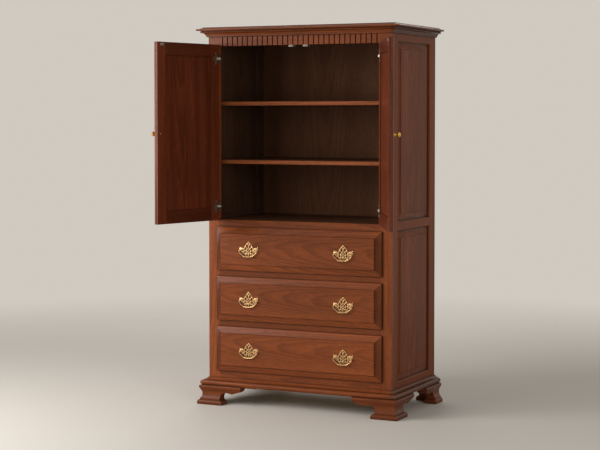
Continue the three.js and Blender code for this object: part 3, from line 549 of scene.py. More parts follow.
@dataclass(frozen=True)
class PlasticFinish:
    """Injection-moulded ABS with a fine spark-eroded texture."""

    name: str
    colour: str
    worn: str
    roughness: tuple[float, float] = (0.42, 0.58)
    grit_mm: float = 0.6
    cloud_mm: float = 8.333

    def material(self) -> bpy.types.Material:
        """Makes the plastic.

        Returns:
            The material.
        """
        material, tree = new_material(self.name)
        point = add_node(tree, "ShaderNodeTexCoord").outputs["Object"]
        grit, cloud = (
            add_node(
                tree, NOISE, {"Vector": point, "Scale": 1 / (size_mm * MM), "Detail": detail}
            ).outputs["Fac"]
            for size_mm, detail in ((self.grit_mm, 3.0), (self.cloud_mm, 2.0))
        )
        rubbed = add_node(tree, REMAP, {"Value": cloud, "From Min": 0.35, "From Max": 0.7}).outputs[0]
        inputs = {0: rubbed, 6: linear(self.colour), 7: linear(self.worn)}
        colour = add_node(tree, MIX, inputs, data_type="RGBA").outputs[2]
        inputs = {"Value": grit, "To Min": self.roughness[0], "To Max": self.roughness[1]}
        gloss = add_node(tree, REMAP, inputs).outputs[0]
        surface = {"Base Color": colour, "Roughness": gloss, "IOR": 1.53}
        coat_over(tree, surface, {"Strength": 0.3, "Distance": 0.05 * MM, "Height": grit})
        return material


# Grey-brown ABS, slightly rubbed where the doors meet it.
CATCH_ABS = PlasticFinish("moulded_abs_catch", "#40332C", "#584840")


# ---------------------------------------------------------------- softened edges

# Edges that bend less than this are part of a curve.
SHARP_DEGREES = 32.0


def smoothing_group() -> bpy.types.NodeTree:
    """Makes the node group that rounds the shading of curved faces and keeps true edges sharp.

    Returns:
        The geometry node group.
    """
    tree = bpy.data.node_groups.new("smooth_under_an_angle", "GeometryNodeTree")
    for way in ("INPUT", "OUTPUT"):
        tree.interface.new_socket("Geometry", in_out=way, socket_type="NodeSocketGeometry")
    start = add_node(tree, "NodeGroupInput").outputs[0]
    bare = add_node(tree, "GeometryNodeRemoveAttribute", {0: start, "Name": "custom_normal"}).outputs[0]
    faces = add_node(tree, "GeometryNodeSetShadeSmooth", {0: bare, 2: True}, domain="FACE").outputs[0]
    angle = add_node(tree, "GeometryNodeInputMeshEdgeAngle").outputs[0]
    inputs = {0: angle, 1: math.radians(SHARP_DEGREES)}
    settings = {"data_type": "FLOAT", "operation": "LESS_THAN"}
    shallow = add_node(tree, "FunctionNodeCompare", inputs, **settings).outputs[0]
    edges = add_node(tree, "GeometryNodeSetShadeSmooth", {0: faces, 2: shallow}, domain="EDGE").outputs[0]
    add_node(tree, "NodeGroupOutput", {0: edges})
    return tree


SMOOTHING = smoothing_group()


@dataclass(frozen=True)
class Easing:
    """How far a maker eases the edges of a piece, by sandpaper or by casting."""

    width_mm: float
    segments: int = 2
    weld_mm: float = 0.01
    flat_degrees: float = 0.4
    flat_weight: int = 60

    def apply(self, piece: bpy.types.Object) -> None:
        """Adds the modifiers that ease a piece's edges.

        Args:
            piece: a mesh object.
        """
        weld = piece.modifiers.new("join_faces", "WELD")
        weld.merge_threshold = self.weld_mm * MM
        flat = piece.modifiers.new("clear_flats", "DECIMATE")
        flat.decimate_type = "DISSOLVE"
        flat.angle_limit = math.radians(self.flat_degrees)
        bevel = piece.modifiers.new("eased_edges", "BEVEL")
        bevel.width = self.width_mm * MM
        bevel.segments = self.segments
        bevel.limit_method = "ANGLE"
        bevel.angle_limit = math.radians(SHARP_DEGREES)
        bevel.use_clamp_overlap = True
        bevel.miter_outer = "MITER_ARC"
        smooth = piece.modifiers.new("smooth_curves", "NODES")
        smooth.node_group = SMOOTHING
        even = piece.modifiers.new("even_light", "WEIGHTED_NORMAL")
        even.keep_sharp = True
        even.weight = self.flat_weight


SANDED = Easing(0.9)
FINE_SANDED = Easing(0.5)
CAST = Easing(0.25)


# ---------------------------------------------------------------- helpers for pieces


def middle(node: str) -> Vector:
    """Finds the middle of a CAD node's box."""
    low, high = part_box(node)
    return (low + high) / 2


def front_middle(node: str) -> Vector:
    """Finds the middle of the front of a CAD node's box."""
    centre = middle(node)
    return Vector((centre.x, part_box(node)[0].y, centre.z))


def looking(origin: Vector, out: Vector) -> Matrix:
    """Makes the placement of something that stands out of an upright surface.

    Args:
        origin: its seat.
        out: the surface's outward direction, which becomes local Z. Local Y is up.

    Returns:
        The placement.
    """
    side = Z_AXIS.cross(out).normalized()
    turn = Matrix((side, out.cross(side).normalized(), out.normalized())).transposed()
    return Matrix.Translation(origin) @ turn.to_4x4()


def raised(place: Matrix, up_mm: float, out_mm: float) -> Matrix:
    """Shifts a placement up and out along its own Y and Z, by millimetres."""
    return place @ Matrix.Translation(Vector((0, up_mm, out_mm)) * MM)


def dress(node: str, material: bpy.types.Material, easing: Easing | None) -> None:
    """Gives a CAD node its finish and eased edges.

    Args:
        node: the node's name.
        material: its material.
        easing: how its edges are eased, if they are.
    """
    piece = frame["nodes"][node]
    piece.data.materials.clear()
    piece.data.materials.append(material)
    if easing:
        easing.apply(piece)
    LOG.info("dressed %s in %s", node, material.name)


def finish_mesh(
    name: str, mesh: bmesh.types.BMesh, material: bpy.types.Material, round_degrees: float = 35.0
) -> bpy.types.Mesh:
    """Turns a bmesh into mesh data with smooth curves and sharp corners.

    Args:
        name: the data's name.
        mesh: the bmesh, which is used up.
        material: its material.
        round_degrees: the sharpest bend that still looks round.

    Returns:
        The mesh data.
    """
    data = bpy.data.meshes.new(name)
    bmesh.ops.remove_doubles(mesh, verts=mesh.verts, dist=0.002 * MM)
    bmesh.ops.recalc_face_normals(mesh, faces=mesh.faces)
    mesh.to_mesh(data)
    mesh.free()
    data.materials.append(material)
    data.shade_smooth()
    data.set_sharp_from_angle(angle=math.radians(round_degrees))
    return data


def place_piece(
    name: str, data: bpy.types.Mesh, place: Matrix, body: str, replaces: str | None = None
) -> None:
    """Sets a finished mesh in its place on a body.

    Args:
        name: the piece's name.
        data: the mesh, which several pieces may share.
        place: where it stands.
        body: the body that it moves with.
        replaces: the CAD node that it stands for, if it does.
    """
    piece = bpy.data.objects.new(name, data)
    piece.matrix_world = place
    bpy.context.scene.collection.objects.link(piece)
    if replaces:
        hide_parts(replaces)
    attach(piece, body)
    LOG.info("made %s on %s", name, body)


def ring(
    mesh: bmesh.types.BMesh,
    place: Matrix,
    radii_mm: tuple[float, float],
    height_mm: float,
    sides: int,
    start: float = 0.0,
) -> list[bmesh.types.BMVert]:
    """Adds the points of a round or oval ring.

    Args:
        mesh: the mesh that it joins.
        place: where its axis stands.
        radii_mm: its radii along local X and Y.
        height_mm: its height on the axis.
        sides: how many points it has.
        start: the angle of the first one.

    Returns:
        Its points.
    """
    points = []
    for i in range(sides):
        angle = start + 2 * math.pi * i / sides
        point = Vector((radii_mm[0] * math.cos(angle), radii_mm[1] * math.sin(angle), height_mm))
        points.append(mesh.verts.new(place @ (point * MM)))
    return points


def bridge(mesh: bmesh.types.BMesh, rings: Sequence[Sequence[bmesh.types.BMVert]]) -> None:
    """Joins each ring to the next with faces.

    Args:
        mesh: the mesh that they are in.
        rings: rings of equal numbers of points, or of one point where the surface closes.
    """
    for low, high in zip(rings, rings[1:]):
        sides = max(len(low), len(high))
        for i in range(sides):
            j = (i + 1) % sides
            corners = [low[i % len(low)], low[j % len(low)], high[j % len(high)], high[i % len(high)]]
            unique = list(dict.fromkeys(corners))
            if len(unique) > 2:
                mesh.faces.new(unique)


def lathe(mesh: bmesh.types.BMesh, profile: Sequence[tuple[float, float]], place: Matrix, sides: int) -> None:
    """Turns a profile about the local Z axis into a closed solid.

    Args:
        mesh: the mesh that it joins.
        profile: radius and height of each point in millimetres, from one end of the axis to the other.
        place: where its axis stands, in metres.
        sides: how many flats make the round.
    """
    bridge(mesh, [ring(mesh, place, (r, r), height, sides if r > 0 else 1) for r, height in profile])


def sweep(
    mesh: bmesh.types.BMesh, path: Sequence[Vector], radii_mm: Sequence[float], normal: Vector, sides: int
) -> None:
    """Sweeps a round section along a path that lies in one plane.

    Args:
        mesh: the mesh that it joins.
        path: the points of the path in metres.
        radii_mm: the section's radius at each point.
        normal: the normal of the path's plane.
        sides: how many flats make the round.
    """
    rings = []
    for i, (point, radius) in enumerate(zip(path, radii_mm)):
        along = (path[min(i + 1, len(path) - 1)] - path[max(i - 1, 0)]).normalized()
        turn = Matrix((normal.cross(along), normal, along)).transposed()
        rings.append(ring(mesh, Matrix.Translation(point) @ turn.to_4x4(), (radius, radius), 0.0, sides))
    bridge(mesh, rings)
    mesh.faces.new(rings[0])
    mesh.faces.new(rings[-1])


def cross_head_screw(mesh: bmesh.types.BMesh, place: Matrix, radius: float, rise: float) -> None:
    """Adds a screw's domed head with a cross recess.

    Args:
        mesh: the mesh that it joins.
        place: the seat of the head, with Z out of the surface.
        radius: the head's radius in millimetres.
        rise: the head's height in millimetres.
    """
    arm, half, floor = radius * 0.62, radius * 0.16, rise * 0.35
    outline: list[Vector] = []
    for quarter in range(4):
        turn = Matrix.Rotation(math.pi / 2 * quarter, 2)
        outline += [turn @ Vector(point) for point in ((half, half), (half, arm), (-half, arm))]
    rim, deep = (
        [mesh.verts.new(place @ (Vector((point.x, point.y, level)) * MM)) for point in outline]
        for level in (rise, floor)
    )
    count = len(outline)
    # The rings' points start where the outline's first corner points.
    shoulder, foot = (
        ring(mesh, place, (radius * scale, radius * scale), height, count * 2, math.pi / 4)
        for scale, height in ((0.82, rise * 0.8), (1.0, 0.0))
    )
    for i in range(count):
        j = (i + 1) % count
        mesh.faces.new((rim[i], shoulder[2 * i], shoulder[2 * i + 1]))
        mesh.faces.new((rim[i], shoulder[2 * i + 1], rim[j]))
        mesh.faces.new((rim[j], shoulder[2 * i + 1], shoulder[(2 * i + 2) % (count * 2)]))
    bridge(mesh, [rim, deep])
    bridge(mesh, [shoulder, foot])
    mesh.faces.new(deep)
    mesh.faces.new(foot)


def drawn(commands: Sequence[tuple], steps: int) -> list[Vector]:
    """Follows an outline of lines and curves.

    Args:
        commands: M starts and Q draws a curve past a first point to a second.
        steps: how many points a curve is drawn with.

    Returns:
        The points of the outline.
    """
    points: list[Vector] = []
    for letter, *numbers in commands:
        pairs = [Vector(pair) for pair in zip(numbers[::2], numbers[1::2])]
        if letter == "Q":
            start, (bend, end) = points[-1], pairs
            for step in range(1, steps + 1):
                t = step / steps
                points.append(start * (1 - t) ** 2 + bend * 2 * t * (1 - t) + end * t**2)
        else:
            points.append(pairs[0])
    return points


def softened(outline: Sequence[Vector], share: float = 0.2, rounds: int = 2) -> list[Vector]:
    """Rounds the corners of an outline by cutting them off, and then what the cut leaves.

    Args:
        outline: the points of the closed outline.
        share: how much of each side a cut takes at either end.
        rounds: how many times the corners are cut.

    Returns:
        The rounder outline.
    """
    points = list(outline)
    for _ in range(rounds):
        sides = list(zip(points, [*points[1:], points[0]]))
        points = [start.lerp(end, part) for start, end in sides for part in (share, 1 - share)]
    return points


def mirrored(right: Sequence[Vector]) -> list[Vector]:
    """Closes a line of the right half, from the middle line back to it, with its mirror image."""
    return [*right, *(Vector((-point.x, point.y)) for point in reversed(right[1:-1]))]


def smooth_path(knots: Sequence[Vector], steps: int) -> list[Vector]:
    """Draws a Catmull-Rom curve through some points.

    Args:
        knots: the points.
        steps: how many steps it takes from one to the next.

    Returns:
        The points of the curve.
    """
    last = len(knots) - 1
    path = []
    for i in range(last):
        before, here, there, after = (knots[min(max(i + k, 0), last)] for k in (-1, 0, 1, 2))
        for step in range(steps):
            t = step / steps
            path.append(
                here
                + (there - before) * (t / 2)
                + (before * 2 - here * 5 + there * 4 - after) * (t * t / 2)
                + (here * 3 - before - there * 3 + after) * (t**3 / 2)
            )
    return [*path, knots[-1]]


def cut_sheet(
    mesh: bmesh.types.BMesh,
    outline: Sequence[Vector],
    holes: Sequence[Sequence[Vector]],
    thickness: float,
    ease: float,
    place: Matrix,
) -> None:
    """Cuts a flat sheet with holes, rounds all its edges and adds it to a mesh.

    Args:
        mesh: the mesh that it joins.
        outline: the sheet's outline in millimetres.
        holes: the outlines of its holes.
        thickness: its thickness.
        ease: the radius of its edges.
        place: where it lies, with its back on the XY plane.
    """
    curve = bpy.data.curves.new("sheet", "CURVE")
    curve.dimensions = "2D"
    curve.fill_mode = "BOTH"
    curve.extrude = (thickness / 2 - ease) * MM
    curve.bevel_depth = ease * MM
    curve.bevel_resolution = 1
    curve.offset = -ease * MM
    for points in (outline, *holes):
        spline = curve.splines.new("POLY")
        spline.points.add(len(points) - 1)
        for knot, point in zip(spline.points, points):
            knot.co = (point.x * MM, point.y * MM, 0, 1)
        spline.use_cyclic_u = True
    carrier = bpy.data.objects.new("sheet", curve)
    sheet = bpy.data.meshes.new_from_object(carrier)
    bpy.data.objects.remove(carrier)
    bpy.data.curves.remove(curve)
    sheet.transform(raised(place, 0, thickness / 2))
    mesh.from_mesh(sheet)
    bpy.data.meshes.remove(sheet)


def drill(solid: bmesh.types.BMesh, cutter: bmesh.types.BMesh) -> bpy.types.Mesh:
    """Takes one mesh away from another.

    Args:
        solid: the mesh that is cut, which is used up.
        cutter: the mesh that cuts it, which is used up.

    Returns:
        The cut mesh.
    """
    carriers = []
    for name, mesh in (("solid", solid), ("cutter", cutter)):
        data = bpy.data.meshes.new(name)
        bmesh.ops.recalc_face_normals(mesh, faces=mesh.faces)
        mesh.to_mesh(data)
        mesh.free()
        carrier = bpy.data.objects.new(name, data)
        bpy.context.scene.collection.objects.link(carrier)
        carriers.append(carrier)
    cut = carriers[0].modifiers.new("drill", "BOOLEAN")
    cut.operation = "DIFFERENCE"
    cut.solver = "EXACT"
    cut.object = carriers[1]
    graph = bpy.context.evaluated_depsgraph_get()
    drilled = bpy.data.meshes.new_from_object(carriers[0].evaluated_get(graph))
    for carrier in carriers:
        data = carrier.data
        bpy.data.objects.remove(carrier)
        bpy.data.meshes.remove(data)
    return drilled


# ---------------------------------------------------------------- the armoire


class Side(Enum):
    """A side of the armoire as seen from its front."""

    LEFT = "left"
    RIGHT = "right"

    @property
    def sign(self) -> int:
        """Says which way the side lies along X."""
        return -1 if self is Side.LEFT else 1


@dataclass
class Case:
    """The case: frame-and-panel sides, face frame, rails, shelves, top and mouldings."""

    steel: bpy.types.Material
    side_stile: float = 78 * MM
    edging: float = 3.2 * MM
    pin_inset: float = 9 * MM
    pin_gaps: tuple[int, int] = (9, 16)
    pin_sides: int = 12
    pin_mm: tuple[tuple[float, float], ...] = ((0, -1.0), (2.2, -1.0), (2.2, 0.01), (2.0, 0.02), (0, 0.02))

    def build(self) -> None:
        """Dresses every fixed board of the case."""
        self.dress_sides()
        self.dress_face()
        self.dress_mouldings()
        self.dress_inside()
        self.nail_back()

    def dress_sides(self) -> None:
        """Dresses the side frames and their raised panels."""
        for index, side in enumerate(Side):
            out = X_AXIS * side.sign
            name = f"side_frame_{side.value}"
            centre = middle(name)
            low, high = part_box(name)
            upright = Board(Z_AXIS, out, centre, (40.0 - 80 * index, -70.0), (0.8, 1.4))
            level = Board(Y_AXIS, out, centre, (25.0, -60.0), (1.5, 1.0))
            joint = Joint(centre, Y_AXIS, (high.y - low.y) / 2 - self.side_stile)
            lining = Beyond(centre, -out, SIDE_LINING)
            dress(name, SIDE_CHERRY.material(name, upright, joint, level, beyond=[lining]), SANDED)
            for row, level_name in enumerate(("lower", "upper")):
                panel = f"side_panel_{level_name}_{side.value}"
                pith, tone = (30.0 + 25 * row, -110.0 - 20 * index), 1.06 - 0.06 * row
                board = Board(Z_AXIS, out, middle(panel), pith, (0.6, 1.8), tone)
                lining = Beyond(middle(panel), -out, SIDE_LINING)
                dress(panel, SIDE_CHERRY.material(panel, board, strip_mm=105, beyond=[lining]), FINE_SANDED)

    def dress_face(self) -> None:
        """Dresses the stiles and rails of the front."""
        # The left stile is painted lighter than the right: painted light from the lamps' side.
        for index, (side, tone) in enumerate(((Side.LEFT, 1.16), (Side.RIGHT, 1.0))):
            name = f"face_stile_{side.value}"
            board = Board(Z_AXIS, -Y_AXIS, middle(name), (20.0 - 45 * index, -45.0), (0.5, 0.8), tone)
            dress(name, SHOW_CHERRY.material(name, board), SANDED)
        rails = ("bottom_rail", "waist_rail", "web_frame_lower", "web_frame_upper", "dentil_rail")
        for index, (name, tone) in enumerate(zip(rails, (0.86, 0.86, 0.76, 0.76, 0.86))):
            pith = (12.0 + 9 * index, -40.0 - 7 * index)
            board = Board(X_AXIS, -Y_AXIS, front_middle(name), pith, (0.7, 1.1), tone)
            dress(name, SHOW_CHERRY.material(name, board), FINE_SANDED)

    def dress_mouldings(self) -> None:
        """Dresses the top board and the mitred crown and base mouldings."""
        half = (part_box("face_stile_right")[1].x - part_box("face_stile_left")[0].x) / 2
        front_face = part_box("face_stile_left")[0].y
        for index, (name, tone) in enumerate((("crown_moulding", 0.8), ("base_moulding", 1.0))):
            centre = middle(name)
            corner = Vector((centre.x, front_face, centre.z))
            # The front length ends at the mitres: |x| is half the case plus the distance before its face.
            joint = Joint(corner, X_AXIS, half, Y_AXIS)
            run = Board(X_AXIS, -Y_AXIS, corner, (8.0 + 11 * index, -38.0), (0.4, 0.9), tone)
            returns = Board(Y_AXIS, X_AXIS, centre, (14.0, -60.0), (0.6, 0.9), tone)
            # The right returns are painted darker: painted shade.
            painted_shade_return = Beyond(corner + X_AXIS * half, X_AXIS, PAINTED_SHADE_CHERRY)
            dress(name, SHOW_CHERRY.material(name, returns, joint, run, beyond=[painted_shade_return]), CAST)
        top = Board(X_AXIS, Z_AXIS, middle("top_board"), (60.0, -140.0), (0.5, 0.7))
        dress("top_board", SHOW_CHERRY.material("top_board", top, strip_mm=110), SANDED)

    def dress_inside(self) -> None:
        """Dresses the shelves, the deck, the back and the bottom board."""
        for index, name in enumerate(("shelf_lower", "shelf_upper", "deck_board")):
            board = Board(X_AXIS, Z_AXIS, middle(name), (40.0 - 30 * index, -90.0), (0.5, 0.9))
            # The shelves' front strips are painted paler: a painted highlight.
            edging = Beyond(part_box(name)[0] + Y_AXIS * self.edging, -Y_AXIS, PAINTED_LIGHT_EDGE_CHERRY)
            dress(name, INSIDE_CHERRY.material(name, board, strip_mm=120, beyond=[edging]), FINE_SANDED)
        back = Board(Z_AXIS, -Y_AXIS, middle("back_panel"), (120.0, -260.0), (0.6, 1.5))
        dress("back_panel", INSIDE_CHERRY.material("back_panel", back), None)
        bottom = Board(X_AXIS, Z_AXIS, middle("bottom_board"), (50.0, -120.0))
        dress("bottom_board", PALE_POPLAR.material("bottom_board", bottom, strip_mm=115), FINE_SANDED)

    def nail_back(self) -> None:
        """Drives the panel pins that hold the back, flush with its face."""
        low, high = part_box("back_panel")
        foot, head = low.z + self.pin_inset, high.z - self.pin_inset
        boards = [middle(name).z for name in ("waist_rail", "shelf_lower", "shelf_upper")]
        gaps_across, gaps_up = self.pin_gaps
        places = [
            (low.x + (high.x - low.x) * step / gaps_across, level)
            for level in (foot, *boards, head)
            for step in range(1, gaps_across)
        ]
        for edge in (low.x + self.pin_inset, high.x - self.pin_inset):
            places += [(edge, foot + (head - foot) * step / gaps_up) for step in range(gaps_up + 1)]
        mesh = bmesh.new()
        for x, z in places:
            lathe(mesh, self.pin_mm, looking(Vector((x, high.y, z)), Y_AXIS), self.pin_sides)
        data = finish_mesh("back_panel_pins", mesh, self.steel)
        place_piece(data.name, data, Matrix(), "carcass")


@dataclass
class Feet:
    """Four ogee bracket feet, the front pair mitred at the corner."""

    tone: float = 0.82
    lean_degrees: tuple[float, float] = (0.8, 1.2)

    def build(self) -> None:
        """Dresses the feet."""
        for index, side in enumerate(Side):
            out = X_AXIS * side.sign
            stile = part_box(f"face_stile_{side.value}")
            name = f"front_foot_{side.value}"
            corner = Vector((stile[index].x, stile[0].y, middle(name).z))
            # The front bracket ends at the mitre that runs out from the case's corner.
            joint = Joint(corner, Vector((0, 0, 0)), 0.0, out + Y_AXIS)
            front = Board(X_AXIS, -Y_AXIS, corner, (10.0, -55.0), self.lean_degrees, self.tone)
            beside = Board(Y_AXIS, out, corner, (22.0, -55.0), self.lean_degrees, self.tone)
            dress(name, SHOW_CHERRY.material(name, beside, joint, front), FINE_SANDED)
            name = f"rear_foot_{side.value}"
            board = Board(Y_AXIS, out, middle(name), (18.0 - 20 * index, -60.0), self.lean_degrees, self.tone)
            dress(name, SHOW_CHERRY.material(name, board), FINE_SANDED)


@dataclass
class Door:
    """One frame-and-panel door with its knob, cup hinges and strike plate."""

    side: Side
    knob_brass: bpy.types.Material
    nickel: bpy.types.Material
    width: float = 449.5 * MM
    stile: float = 58 * MM
    middle_depth: float = 11 * MM
    lining_depth: float = 1.2 * MM
    edge_depth: float = 0.6 * MM
    edge_from_axis: float = 4 * MM
    inner_face: float = 10 * MM
    strike_from_top: float = 13.5 * MM
    strike_from_edge: float = 34.5 * MM
    strike_half_mm: tuple[float, float] = (16.0, 8.5)
    strike_thickness_mm: float = 1.4
    strike_shoulder: float = 0.7
    strike_ease: float = 0.93
    strike_sides: int = 24
    strike_screw_depth: float = 0.96
    # A screw's head is given by its radius and its height.
    strike_screw_mm: tuple[float, float] = (2.6, 0.8)
    cup_from_edge: float = 21.5 * MM
    ear_span_mm: tuple[float, float] = (19.8, 31.0)
    ear_half_mm: float = 7.5
    ear_lift_mm: float = 0.1
    ear_thickness_mm: float = 1.0
    ear_ease_mm: float = 0.3
    ear_top_mm: float = 1.05
    ear_screw_up_mm: float = 25.0
    ear_screw_mm: tuple[float, float] = (3.6, 1.3)
    arm_plate_face: float = 3.05 * MM
    arm_screws: float = 15 * MM
    arm_screw_mm: tuple[float, float] = (3.8, 1.4)

    def __post_init__(self) -> None:
        """Finds the door's hinge, its turn at rest and its level."""
        self.body = f"door_{self.side.value}"
        joint = next(j for j in frame["joints"] if j["name"] == f"{self.body}_hinge")
        self.pivot = Vector(joint["pos_m"])
        turn = Matrix.Rotation(-math.radians(joint["range_deg"][0]), 3, Vector(joint["axis"]))
        self.low, self.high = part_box(f"door_frame_{self.side.value}")
        # From the hinge edge to the free edge, and out of the front, as the door stands open.
        self.across = turn @ (X_AXIS * -self.side.sign)
        self.out = turn @ -Y_AXIS

    def at(self, across: float, up: float, out: float) -> Vector:
        """Gives a point of the open door.

        Args:
            across: the distance from the hinge edge.
            up: the height above the door's bottom.
            out: the distance out of its inner face.

        Returns:
            The point in the frame.
        """
        point = self.pivot + self.across * (across - self.edge_from_axis) + self.out * (out - self.inner_face)
        return Vector((point.x, point.y, self.low.z + up))

    def build(self) -> None:
        """Dresses the door and makes its small parts."""
        height = self.high.z - self.low.z
        centre = self.at(self.width / 2, height / 2, self.middle_depth)
        name = f"door_frame_{self.side.value}"
        upright = Board(Z_AXIS, self.out, centre, (36.0, -48.0), (0.5, 1.0), 1.12)
        level = Board(self.across, self.out, centre, (20.0, -50.0), (0.9, 1.2), 0.74)
        joint = Joint(centre, self.across, self.width / 2 - self.stile)
        # The door's inner face is painted dark: painted shade.
        lining = Beyond(self.at(0, 0, self.lining_depth), -self.out, PAINTED_SHADE_DOOR_LINING)
        # The free edge is painted darker: painted shade.
        edge = Beyond(self.at(self.width - self.edge_depth, 0, 0), self.across, PAINTED_SHADE_DOOR_EDGE)
        dress(name, SHOW_CHERRY.material(name, upright, joint, level, beyond=[lining, edge]), SANDED)
        name = f"door_panel_{self.side.value}"
        panel = Board(Z_AXIS, self.out, centre, (-30.0, -120.0), (0.8, 1.6), 1.1)
        # The panel's inner face is painted dark: painted shade.
        lining = Beyond(self.at(0, 0, self.middle_depth), -self.out, PAINTED_SHADE_DOOR_LINING)
        dress(name, PANEL_CHERRY.material(name, panel, strip_mm=92, beyond=[lining]), FINE_SANDED)
        dress(f"door_knob_{self.side.value}", self.knob_brass, CAST)
        for level_name in ("lower", "upper"):
            for kind in ("cup", "arm"):
                dress(f"hinge_{kind}_{level_name}_{self.side.value}", self.nickel, CAST)
            self.make_ears(level_name)
            self.make_arm_screws(level_name)
        self.make_strike(height)

    def make_ears(self, level_name: str) -> None:
        """Makes the hinge cup's two screwed ears.

        Args:
            level_name: which of the door's two hinges it is.
        """
        level = middle(f"hinge_arm_{level_name}_{self.side.value}").z
        place = looking(self.at(self.cup_from_edge, level - self.low.z, 0), -self.out)
        low, high = self.ear_span_mm
        half = self.ear_half_mm
        arc = [math.radians(angle) for angle in range(0, 181, 15)]
        ear = [Vector((half * math.cos(a), high - half + half * math.sin(a))) for a in arc]
        ear += [Vector((-half, low)), Vector((half, low))]
        mesh = bmesh.new()
        for side in (-1, 1):
            outline, back = [point * side for point in ear], raised(place, 0, self.ear_lift_mm)
            cut_sheet(mesh, outline, [], self.ear_thickness_mm, self.ear_ease_mm, back)
            seat = raised(place, side * self.ear_screw_up_mm, self.ear_top_mm)
            cross_head_screw(mesh, seat, *self.ear_screw_mm)
        data = finish_mesh(f"hinge_ears_{level_name}_{self.side.value}", mesh, self.nickel)
        place_piece(data.name, data, Matrix(), self.body)

    def make_arm_screws(self, level_name: str) -> None:
        """Makes the screws that hold the hinge arm's plate to the stile.

        Args:
            level_name: which of the door's two hinges it is.
        """
        level = middle(f"hinge_arm_{level_name}_{self.side.value}").z
        low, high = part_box(f"face_stile_{self.side.value}")
        face = (high.x if self.side is Side.LEFT else low.x) - self.side.sign * self.arm_plate_face
        mesh = bmesh.new()
        for side in (-1, 1):
            seat = Vector((face, (low.y + high.y) / 2, level + side * self.arm_screws))
            cross_head_screw(mesh, looking(seat, X_AXIS * -self.side.sign), *self.arm_screw_mm)
        data = finish_mesh(f"hinge_arm_screws_{level_name}_{self.side.value}", mesh, self.nickel)
        place_piece(data.name, data, Matrix(), "carcass")

    def make_strike(self, height: float) -> None:
        """Makes the thin oval steel plate that the magnetic catch pulls.

        Args:
            height: the door's height.
        """
        seat = self.at(self.width - self.strike_from_edge, height - self.strike_from_top, 0)
        place = looking(seat, -self.out)
        half_x, half_y = self.strike_half_mm
        thickness = self.strike_thickness_mm
        levels = ((1.0, 0.0), (1.0, thickness * self.strike_shoulder), (self.strike_ease, thickness))
        mesh = bmesh.new()
        rings = [
            ring(mesh, place, (half_x * scale, half_y * scale), rise, self.strike_sides)
            for scale, rise in levels
        ]
        bridge(mesh, rings)
        mesh.faces.new(rings[0])
        mesh.faces.new(rings[-1])
        cross_head_screw(mesh, raised(place, 0, thickness * self.strike_screw_depth), *self.strike_screw_mm)
        data = finish_mesh(f"strike_plate_{self.side.value}", mesh, self.nickel, 180.0)
        place_piece(data.name, data, Matrix(), self.body)


